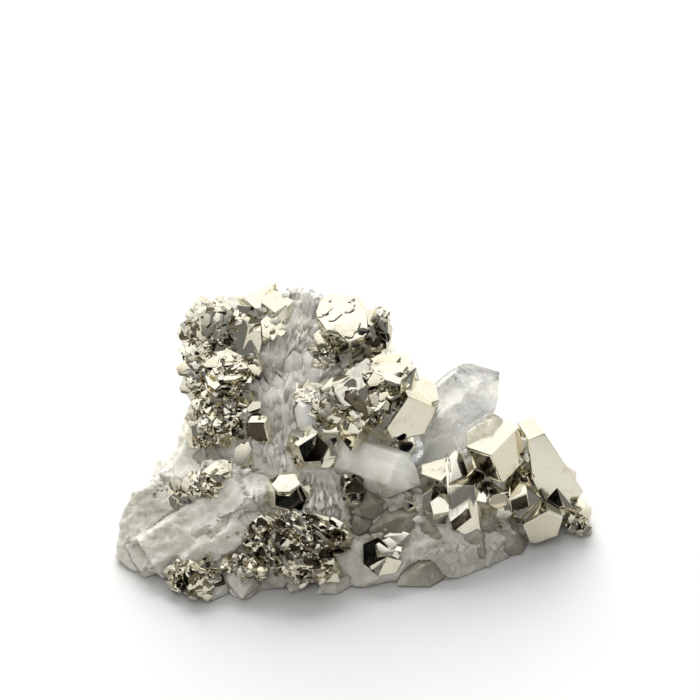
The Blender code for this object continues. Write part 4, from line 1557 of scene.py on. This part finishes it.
DRUSE_STANDS = [
    Stand(280, 350, 22, 28, 92, 78, 0.12), Stand(290, 395, 30, 30, 95, 80, 0.12),
    Stand(275, 440, 28, 24, 92, 78, 0.12), Stand(305, 345, 20, 22, 80, 75, 0.12),
    Stand(300, 480, 24, 14, 275, 75, 0.15), Stand(330, 495, 20, 16, 270, 75, 0.15),
    Stand(225, 410, 26, 14, 100, 50), Stand(230, 455, 24, 16, 110, 50), Stand(340, 375, 20, 30, 60, 60),
    Stand(400, 510, 30, 10, 200, 50, length=(1.5, 3.0), width=(0.8, 1.6)),
    Stand(430, 560, 34, 9, 90, 50, 0.6, (1.0, 2.0), (0.6, 1.4), 0.7),
    Stand(480, 548, 26, 8, 90, 50, 0.6, (1.0, 2.0), (0.6, 1.3), 0.7),
    Stand(410, 455, 22, 12, 45, 50),
]


# Pyrite


@dataclass(frozen=True)
class Patch(Round):
    """Round stretch of the view that is granular: thin crystal plates lie on a rough skin.

    The plates lie in families that share one direction, as one grown crystal's terraces do. It is
    partly the surface's own and partly around and tilt, so that a patch glints or stays dark.
    Drawn plates are long and narrow, and lie along one line of the view. A patch without relief
    has plates and no rough skin.
    """

    count: int = 0
    relief: float = 1.0
    around: float = 95.0
    tilt: float = 38.0
    lean: float = 0.75
    spread: float = 0.3
    small: float = 0.4
    large: float = 1.4
    drawn: float = 1.0
    along: float | None = None
    # Share of the plates painted near-black: painted shade and dark reflection among the glints
    dark: float = 0.25
    thick: float = 0.4
    family: int = 9


@dataclass
class PyritePiece:
    """One packed pyrite group, dressed: terraced facets, worn edges and small crystals on it."""

    node: str
    patches: list[Patch] = field(default_factory=list)
    # Places of the view, each with a reach, whose facets are painted near-black as painted dark reflections
    painted_dark_facets: tuple[tuple[float, float, float], ...] = ()
    flat_angle: float = 1.2
    bevel: float = 0.035
    bevel_angle: float = 20.0
    terrace: float = 0.12
    wider: float = 2.2
    step: float = 0.03
    terraced: float = 0.7
    least_area: float = 1.6
    large_area: float = 5.0
    least_round: float = 0.42
    seam_angle: float = math.radians(2.0)
    facet_tones: float = 0.9
    voxel: float = 0.17
    rim_share: float = 0.5
    patch_fade: float = 6.0
    dip: float = 0.4
    rise: float = 0.12
    nugget_size: float = 1.2
    nugget_depth: float = 0.6
    nugget_middle: float = 0.45
    crumb_size: float = 0.5
    crumb_depth: float = 0.35
    crumb_layers: int = 2
    keep: float = 0.16
    # Share of the rough skin's faces painted near-black: painted shade in the clefts between the plates
    skin_painted_dark: float = 0.25
    host_seen: float = -0.1
    patch_margin: float = 8.0
    least_families: int = 4
    family_spread: float = 0.06
    least_seen: float = 0.18
    least_flat: float = 0.45
    least_height: float = 0.8
    quartz_gap: float = 0.5
    lengths: tuple[float, float] = (0.9, 1.4)
    widths: tuple[float, float] = (0.7, 1.2)
    thicknesses: tuple[float, float] = (0.6, 1.3)
    sinks: tuple[float, float] = (0.0, 0.4)
    plate_tones: float = 0.85
    seed: int = 1

    skin_seed: ClassVar[int] = 50
    crust_seed: ClassVar[int] = 100

    def spot(self, corners: list[Vector], chance: random.Random) -> Vector:
        """Random place on a triangle."""
        first, second = sorted((chance.random(), chance.random()))
        return corners[0] * first + corners[1] * (second - first) + corners[2] * (1 - second)

    def takes_terrace(self, face: bmesh.types.BMFace, least: float, chance: random.Random) -> bool:
        """Whether a facet gets a terrace: a large, compact one with no flat seam, by chance.

        Args:
            face: The facet.
            least: Least area in square millimetres.
            chance: Source of chance.

        Returns:
            Whether it does.
        """
        roundness = face.calc_area() / max(face.calc_perimeter() ** 2 / (4 * math.pi), SMALLEST)
        whole = all(edge.calc_face_angle(0.0) > self.seam_angle for edge in face.edges)
        large = face.calc_area() > least
        return large and roundness > self.least_round and whole and chance.random() < self.terraced

    def crystal(self, nodes: dict[str, bpy.types.Object]) -> bpy.types.Object:
        """Model the group's facets.

        Args:
            nodes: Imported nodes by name.

        Returns:
            The faceted body, in millimetres.
        """
        chance = random.Random(self.seed)
        body = node_copy(nodes[self.node], self.node + "_facets")
        with editing(body):
            bpy.ops.mesh.dissolve_limited(angle_limit=math.radians(self.flat_angle))
            for least, inset, depth in (
                (self.least_area, self.terrace, self.step),
                (self.large_area, self.wider * self.terrace, -self.step),
            ):
                select_faces(body, lambda face: self.takes_terrace(face, least, chance))
                bpy.ops.mesh.inset(thickness=inset, depth=depth, use_individual=True)
        tones = []
        for face in body.data.polygons:
            column, row = VIEW.pixel(face.center)
            # Facets near a listed place get the highest tone: a painted dark reflection
            dark = any(math.hypot(column - x, row - y) < reach for x, y, reach in self.painted_dark_facets)
            tones.append(1.0 if dark else self.facet_tones * chance.random())
        store(body, "tone", "FLOAT", "FACE", tones)
        bevel(body, self.bevel, self.bevel_angle, clamped=False)
        apply_modifiers(body)
        return body

    def rough(self, nodes: dict[str, bpy.types.Object]) -> bpy.types.Object | None:
        """Model the granular skin of the group's patches.

        Args:
            nodes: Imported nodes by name.

        Returns:
            A crumpled skin in millimetres that dips under the facets elsewhere, or None.
        """
        if not self.patches:
            return None
        skin = node_copy(nodes[self.node], self.node + "_rough")
        remesh(skin, self.voxel)
        grown, carved = [], []
        for vert in skin.data.vertices:
            spot = VIEW.pixel(vert.co)
            share = relief = 0.0
            for patch in self.patches:
                if not patch.relief:
                    continue
                inside = clamp(self.rim_share + (patch.radius - patch.away(*spot)) / self.patch_fade)
                share = max(share, inside)
                relief = max(relief, inside * patch.relief)
            grown.append(share)
            carved.append(relief)
        weigh(skin, "grown", grown)
        weigh(skin, "sunk", [1.0 - share for share in grown])
        weigh(skin, "carved", carved)
        nuggets = cells(self.node + "_nuggets", self.nugget_size)
        crumbs = clouds(self.node + "_crumbs", self.crumb_size, self.crumb_layers)
        displace(skin, -self.dip, "sunk")
        displace(skin, self.rise, "grown")
        displace(skin, -self.nugget_depth, "carved", nuggets, self.nugget_middle)
        displace(skin, self.crumb_depth, "carved", crumbs, CLOUD_MIDDLE)
        thin_out(skin, self.keep)
        apply_modifiers(skin)
        skin.vertex_groups.clear()
        chance = random.Random(self.seed + self.skin_seed)
        # A share of the skin's faces gets the highest tone: painted shade in the clefts
        tones = [1.0 if chance.random() < self.skin_painted_dark else chance.random() for _ in skin.data.polygons]
        store(skin, "tone", "FLOAT", "FACE", tones)
        return skin

    def seen_triangles(self, nodes: dict[str, bpy.types.Object]) -> list[tuple[list[Vector], Vector, float]]:
        """Corners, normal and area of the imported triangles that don't face away from the eye.

        Args:
            nodes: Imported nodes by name.

        Returns:
            A list with an entry for each triangle.
        """
        host = node_copy(nodes[self.node], "host")
        mesh = host.data
        mesh.calc_loop_triangles()
        eye = VIEW.eye
        triangles = []
        for triangle in mesh.loop_triangles:
            if triangle.normal.dot(eye) > self.host_seen:
                corners = [mesh.vertices[i].co.copy() for i in triangle.vertices]
                triangles.append((corners, triangle.normal.copy(), triangle.area))
        bpy.data.objects.remove(host)
        return triangles

    def families(self, patch: Patch, near: list[tuple[list[Vector], Vector, float]],
                 chance: random.Random) -> list[tuple[Vector, Vector, Vector]]:
        """Choose the middles of a patch's families and the way their plates lie.

        Args:
            patch: The patch.
            near: Corners, normal and area of the triangles that it covers.
            chance: Source of chance.

        Returns:
            Middle, outward direction and line of each family.
        """
        lead = VIEW.turn @ facing(patch.around, patch.tilt)
        count = max(self.least_families, patch.count // patch.family)
        found = []
        for corners, normal, _ in chance.choices(near, [area for _, _, area in near], k=count):
            jitter = Vector([chance.gauss(0.0, patch.spread) for _ in range(3)])
            out = (normal * (1.0 - patch.lean) + lead * patch.lean + jitter).normalized()
            line = Vector([chance.gauss(0.0, 1.0) for _ in range(3)])
            if patch.along is not None:
                turn = math.radians(patch.along)
                line = VIEW.turn @ Vector((math.cos(turn), math.sin(turn), 0.0))
            found.append((self.spot(corners, chance), out, line))
        return found

    def crust(self, nodes: dict[str, bpy.types.Object], quartz: BVHTree,
              plate: bpy.types.Object) -> bpy.types.Object | None:
        """Lay small crystal plates over the group's patches.

        Args:
            nodes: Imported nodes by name.
            quartz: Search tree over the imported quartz.
            plate: Plate to copy, of unit size.

        Returns:
            The plates as one object in millimetres, or None.
        """
        if not self.patches:
            return None
        chance = random.Random(self.seed + self.crust_seed)
        eye = VIEW.eye
        triangles = self.seen_triangles(nodes)
        copies = Copies(plate)
        tones: list[float] = []
        for patch in self.patches:
            near = [
                triangle for triangle in triangles
                if patch.away(*VIEW.pixel((triangle[0][0] + triangle[0][1] + triangle[0][2]) / 3))
                < patch.radius + self.patch_margin
            ]
            if not near or not patch.count:
                continue
            families = self.families(patch, near, chance)
            for corners, normal, _ in chance.choices(near, [area for _, _, area in near], k=patch.count):
                place = self.spot(corners, chance)
                if patch.away(*VIEW.pixel(place)) > patch.radius:
                    continue
                buried = is_inside(quartz, place + normal * self.quartz_gap)
                if buried or place.z < self.least_height or normal.dot(eye) < self.least_seen:
                    continue
                _, out, line = min(families, key=lambda own: (own[0] - place).length)
                jitter = Vector([chance.gauss(0.0, self.family_spread) for _ in range(3)])
                out = (out + jitter).normalized()
                if out.dot(normal) < self.least_flat:
                    continue
                size = patch.small * (patch.large / patch.small) ** chance.random()
                side = out.cross(line).normalized()
                turn = Matrix((side.cross(out), side, out)).transposed()
                thick = size * patch.thick
                scale = Matrix.Diagonal((
                    size * patch.drawn * chance.uniform(*self.lengths),
                    size / patch.drawn * chance.uniform(*self.widths),
                    thick * chance.uniform(*self.thicknesses)))
                copies.add(place + normal * (self.rise - thick * chance.uniform(*self.sinks)), turn, scale)
                # Plates drawn for the dark share get the highest tone: painted shade and dark reflection
                tone = 1.0 if chance.random() < patch.dark else chance.random() * self.plate_tones
                tones.extend([tone] * len(copies.shape_faces))
        if not copies.places:
            return None
        crust = mesh_object(self.node + "_crust", copies.places, copies.faces)
        store(crust, "tone", "FLOAT", "FACE", tones)
        return crust


@dataclass(frozen=True)
class Plate:
    """Small crystal plate of unit size: a slab with three corners cut and a stepped top."""

    thickness: float = 0.6
    cuts: tuple[tuple[tuple[float, float, float], tuple[float, float, float]], ...] = (
        ((0.30, 0.30, 0.0), (0.8, 0.55, 0.25)), ((-0.35, 0.20, 0.0), (-0.7, 0.7, 0.1)),
        ((-0.28, -0.38, 0.0), (-0.5, -0.85, 0.15)),
    )
    upward: float = 0.9
    border: float = 0.1
    step: float = 0.03

    def model(self) -> bpy.types.Object:
        """Cut the plate from a cube.

        Returns:
            The plate, to be copied.
        """
        deselect()
        bpy.ops.mesh.primitive_cube_add(size=1.0)
        plate = bpy.context.active_object
        plate.name = "plate"
        plate.data.transform(Matrix.Diagonal((1.0, 1.0, self.thickness, 1.0)))
        with editing(plate):
            for place, outward in self.cuts:
                cut(Vector(place), Vector(outward))
            select_faces(plate, lambda face: face.normal.z > self.upward)
            bpy.ops.mesh.inset(thickness=self.border, depth=self.step)
        return plate


PYRITE_PIECES = [
    PyritePiece("pyrite_mass_upper_left", [
        Patch(206, 318, 25, 230, 0.4, 98, 32, 0.9, 0.13, 0.5, 1.6, dark=0.07, thick=0.25),
        Patch(205, 338, 17, 90, 0.5, 250, 14, 0.6, 0.35, dark=0.45),
        Patch(226, 343, 13, 60, 0.5, 280, 12, 0.6, 0.35, dark=0.5, thick=0.8),
        Patch(238, 322, 11, 70, 0.4, 280, 14, 0.6, 0.4, dark=0.4),
        Patch(197, 360, 18, 120, 0.4, 108, 31, 0.9, 0.15, 0.5, 1.6, dark=0.08, thick=0.28),
        Patch(199, 383, 15, 90, 0.4, 102, 32, 0.9, 0.15, 0.5, 1.6, dark=0.06, thick=0.28),
        Patch(229, 374, 21, 260, 0.25, 97, 33, 1.0, 0.07, 0.6, 1.8, dark=0.0, thick=0.18),
        Patch(204, 420, 22, 170, 0.35, 98, 32, 0.92, 0.14, 0.5, 1.5, dark=0.06, thick=0.25),
        Patch(206, 438, 13, 70, 0.5, 100, 31, 0.8, 0.3, dark=0.35),
        Patch(236, 400, 14, 80, 0.5, 92, 32, 0.85, 0.2, dark=0.15),
        Patch(232, 425, 14, 70, 0.5, 100, 31, 0.8, 0.3, dark=0.25),
        Patch(250, 368, 13, 90, 0.5, 275, 8, 0.7, 0.35, dark=0.5),
        Patch(273, 326, 13, 60, 0.0, 88, 34, 0.95, 0.06, 0.4, 1.0, dark=0.06, thick=0.4),
    ], ((257, 431, 9), (240, 318, 7), (250, 368, 8)), seed=3),
    PyritePiece("pyrite_crystals_upper_right", [
        Patch(375, 337, 13, 110, 0.5, 290, 8, 0.85, 0.25, dark=0.6, thick=0.8),
        Patch(380, 314, 9, 50, 0.4, 95, 33, 0.9, 0.15, dark=0.08),
        Patch(324, 352, 13, 70, 0.4, 92, 32, 0.85, 0.22, dark=0.12),
        Patch(342, 318, 23, 70, 0.0, 100, 38, 0.0, 0.02, 0.6, 2.2, dark=0.0, thick=0.16),
    ], seed=5),
    PyritePiece("pyrite_mass_centre", [
        Patch(310, 402, 21, 200, 0.45, 95, 32, 0.9, 0.15, 0.5, 1.5, dark=0.08, thick=0.28),
        Patch(372, 376, 32, 130, 0.25, 97, 32, 0.95, 0.09, 0.8, 2.8, dark=0.03, thick=0.16),
        Patch(362, 404, 24, 110, 0.35, 103, 31, 0.9, 0.16, 0.6, 2.0, dark=0.06, thick=0.22),
        Patch(393, 403, 10, 60, 0.4, 272, 8, 0.85, 0.2, 0.4, 1.2, 1.6, 50, 0.6, 0.6),
        Patch(398, 447, 12, 60, 0.5, 92, 32),
    ], seed=7),
    PyritePiece("pyritohedron_centre", [Patch(294, 462, 8, 20, 0.4)], ((320, 450, 10),), seed=9),
    PyritePiece("pyritohedron_front", painted_dark_facets=((293, 505, 10),), seed=11),
    PyritePiece("pyrite_tooth", [Patch(248, 470, 7, 24, 0.4, 280, 8, 0.9, dark=0.7)], seed=13),
    PyritePiece("pyrite_vein_left", [
        Patch(196, 485, 32, 220, 0.45, 97, 32, 0.93, 0.13, 0.5, 1.5, dark=0.05, thick=0.25),
        Patch(222, 475, 8, 36, 0.4, 97, 32, 0.95, 0.08, dark=0.05),
    ], seed=15),
    PyritePiece("pyrite_mass_front", [
        Patch(290, 535, 30, 220, 0.6, 272, 8, 0.8, 0.25, 0.4, 1.4, 1.3, 150, 0.5, 0.8),
        Patch(318, 545, 28, 220, 0.6, 275, 8, 0.8, 0.28, 0.4, 1.4, 1.3, 160, 0.5, 0.8),
        Patch(300, 565, 28, 150, 0.6, 265, 12, 0.7, 0.35, dark=0.45),
        Patch(262, 540, 20, 90, 0.6, 260, 10, 0.7, 0.3, dark=0.55, thick=0.8),
        Patch(330, 530, 9, 14, 0.0, 95, 33, 0.98, 0.03, 0.6, 1.3, dark=0.0),
        Patch(293, 560, 7, 8, 0.0, 95, 33, 0.98, 0.03, 0.6, 1.3, dark=0.0),
        Patch(325, 562, 7, 10, 0.0, 95, 33, 0.98, 0.03, 0.6, 1.3, dark=0.0),
    ], seed=17),
    PyritePiece("pyrite_lump_front_left", [
        Patch(193, 576, 26, 200, 0.4, 255, 20, 0.65, 0.35, dark=0.2),
    ], seed=19),
    PyritePiece("pyrite_grains_front", [Patch(248, 564, 24, 120, 0.5, 97, 30, 0.8, 0.3, dark=0.25)], seed=21),
    PyritePiece("pyrite_cube_front", painted_dark_facets=((366, 548, 9),), seed=23),
    PyritePiece("pyrite_cubes_right", [
        Patch(577, 522, 14, 60, 0.12, 98, 27, 0.7, 0.2, 0.6, 1.6, dark=0.05, thick=0.4),
        Patch(508, 540, 14, 90, 0.6, 270, 10, 0.7, 0.35, dark=0.5),
        Patch(528, 475, 9, 50, 0.3, 280, 8, 0.85, 0.2, 0.4, 1.0, 1.8, 120, 0.6),
    ], ((458, 489, 8), (463, 522, 9), (486, 470, 7), (518, 506, 6)), seed=25),
    PyritePiece("pyrite_dark_round", [Patch(352, 490, 14, 60, 0.15, 275, 8, 0.8, 0.25, dark=0.6)], seed=27),
    PyritePiece("pyrite_bead", seed=29),
]


# Studio


@dataclass(frozen=True)
class Lamp:
    """Large soft lamp that shines at the specimen and isn't mirrored in it."""

    name: str
    place: tuple[float, float, float]
    size: float
    power: float

    def hang(self) -> None:
        """Hang the lamp."""
        deselect()
        bpy.ops.object.light_add(type="AREA", location=self.place)
        lamp = bpy.context.active_object
        lamp.name = self.name
        lamp.data.size = self.size
        lamp.data.energy = self.power
        lamp.visible_glossy = False
        lamp.rotation_euler = (-lamp.location).to_track_quat("-Z", "Y").to_euler()


@dataclass
class Studio:
    """Pale floor, soft light and the camera."""

    lens: float = 400.0
    sensor: float = 36.0
    frame_width: float = 77.0
    aim: tuple[float, float, float] = (350.0, 350.0, 16.0)
    floor_size: float = 6.0
    lamps: tuple[Lamp, ...] = (
        Lamp("back_light", (-0.06, 0.52, 0.46), 0.5, 9.0),
        Lamp("front_light", (-0.2, -0.45, 0.5), 0.6, 1.8),
        Lamp("top_light", (-0.15, 0.0, 0.7), 0.6, 0.8),
    )
    sky: float = 1.2
    front: float = 0.17
    sky_towards: tuple[float, float, float] = (0.0, 0.8, 0.6)
    sky_range: tuple[float, float] = (0.28, 0.9)
    shadow: float = 0.02
    shadow_elevation: float = 33.0
    shadow_core: float = 16.0
    shadow_soft: float = 30.0

    def floor(self) -> None:
        """Lay the floor."""
        deselect()
        bpy.ops.mesh.primitive_plane_add(size=self.floor_size, location=(0.0, 0.0, 0.0))
        floor = bpy.context.active_object
        floor.name = "floor"
        floor.data.materials.append(FloorFinish().make())

    def surroundings(self) -> None:
        """Set the surroundings: bright behind and above, dim in front, with a dark round there too."""
        world = bpy.data.worlds.new("surroundings")
        bpy.context.scene.world = world
        world.use_nodes = True
        bench = Bench(world.node_tree)
        direction = bench.add("ShaderNodeTexCoord").outputs["Generated"]
        turn = math.radians(self.shadow_elevation)
        behind, towards = (
            bench.add(
                "ShaderNodeVectorMath", {0: direction, 1: way}, operation="DOT_PRODUCT").outputs["Value"]
            for way in (self.sky_towards, (0.0, -math.cos(turn), math.sin(turn))))
        sky = bench.ramp(behind, *self.sky_range, self.front, self.sky)
        soft, core = math.cos(math.radians(self.shadow_soft)), math.cos(math.radians(self.shadow_core))
        share = bench.ramp(towards, soft, core, 1.0, self.shadow)
        bench.put(world.node_tree.nodes["Background"],
                  {"Color": (1.0, 1.0, 1.0, 1.0), "Strength": bench.math("MULTIPLY", sky, share)})

    def camera(self) -> None:
        """Set the camera at the view's angle, far off with a long lens."""
        column, row, near = self.aim
        across = (column - VIEW.middle[0]) * VIEW.mm_per_pixel
        up = (VIEW.middle[1] - row) * VIEW.mm_per_pixel
        aim = VIEW.world(Vector((across, up, near))) * MM
        distance = self.frame_width * MM * self.lens / self.sensor
        bpy.ops.object.camera_add(
            location=aim + VIEW.eye * distance, rotation=(math.pi / 2 - VIEW.elevation, 0.0, 0.0))
        camera = bpy.context.active_object
        camera.name = "camera"
        camera.data.lens = self.lens
        camera.data.sensor_width = self.sensor
        bpy.context.scene.camera = camera

    def build(self) -> None:
        """Set up floor, light, camera and tone."""
        self.floor()
        for lamp in self.lamps:
            lamp.hang()
        self.surroundings()
        self.camera()
        bpy.context.scene.view_settings.view_transform = "Standard"
        bpy.context.scene.view_settings.look = "None"


def main() -> None:
    """Build every piece of the specimen and the studio around it."""
    logging.basicConfig(level=logging.INFO, format="%(name)s %(message)s", stream=sys.stdout)
    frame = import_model()
    nodes = frame["nodes"]
    Studio().build()
    groups = Groups()
    facets = PyriteFinish("pyrite_facets").make(groups)
    # Granular pyrite: its dark colour is the near-black of painted shade and dark reflection among the small
    # crystals
    grains = PyriteFinish(
        "pyrite_grains", pale=(0.95, 0.925, 0.79), deep=(0.90, 0.84, 0.66), tarnish=(0.60, 0.52, 0.36),
        dark=(0.17, 0.14, 0.09), tarnish_cover=0.36, roughness=0.09, line_depth=0.0, grain_depth=0.006,
    ).make(groups)
    milky = QuartzFinish("quartz_milky", grain_depth=0.09, crack=0.0, specks=0.13).make(groups)
    glassy = QuartzFinish("quartz_glassy", roughness=0.1, grain_depth=0.015, specks=0.05).make(groups)
    # Darker copy of the quartz finish for the crystals that lie in shade: painted shade
    painted_shade_finish = QuartzFinish(
        "quartz_painted_shade", clear=(0.44, 0.42, 0.34), milk=(0.66, 0.64, 0.56), shade=(0.30, 0.27, 0.20),
        dark=(0.22, 0.20, 0.15), roughness=0.12, grain_depth=0.015,
    ).make(groups)
    clear = ClearFinish().make(groups)
    veil = VeilFinish().make(groups)

    packed = pyrite_copies(nodes, "packed")
    packed_quartz = node_copy(nodes[QUARTZ_NODE], "packed_quartz")
    pyrite_tree, quartz_tree = tree_of(packed), tree_of([packed_quartz])
    for thing in (*packed, packed_quartz):
        bpy.data.objects.remove(thing)

    points = [group.model() for group in QUARTZ_GROUPS]
    body = QuartzBody().model(nodes, points)
    druse = QuartzDruse("quartz_druse", DRUSE_STANDS).model(body, pyrite_tree)
    # Painted shade on all the quartz: in the listed stretches of the view and on the back
    for thing in (body, druse, *points):
        give_painted_shade(thing)
    finish_piece(body, milky, Sharp.BODY, (QUARTZ_NODE,))
    for thing in points:
        # The shaded and the grey crystals get the darker copy of the quartz finish: painted shade
        shaded = thing.name in ("quartz_shaded_points", "quartz_grey_points")
        finish_piece(thing, painted_shade_finish if shaded else glassy, Sharp.CRYSTAL)
    finish_piece(druse, milky, Sharp.DRUSE)
    crystal = ClearCrystal()
    clear_crystal = crystal.model(nodes)
    finish_piece(crystal.veils(clear_crystal), veil, Sharp.VEIL)
    finish_piece(clear_crystal, clear, Sharp.CRYSTAL, (CLEAR_NODE,))

    plate = Plate().model()
    for piece in PYRITE_PIECES:
        finish_piece(piece.crystal(nodes), facets, Sharp.FACETS, (piece.node,))
        for thing in (piece.rough(nodes), piece.crust(nodes, quartz_tree, plate)):
            if thing:
                finish_piece(thing, grains, Sharp.GRAINS)
    bpy.data.objects.remove(plate)


if __name__ == "__main__":
    main()
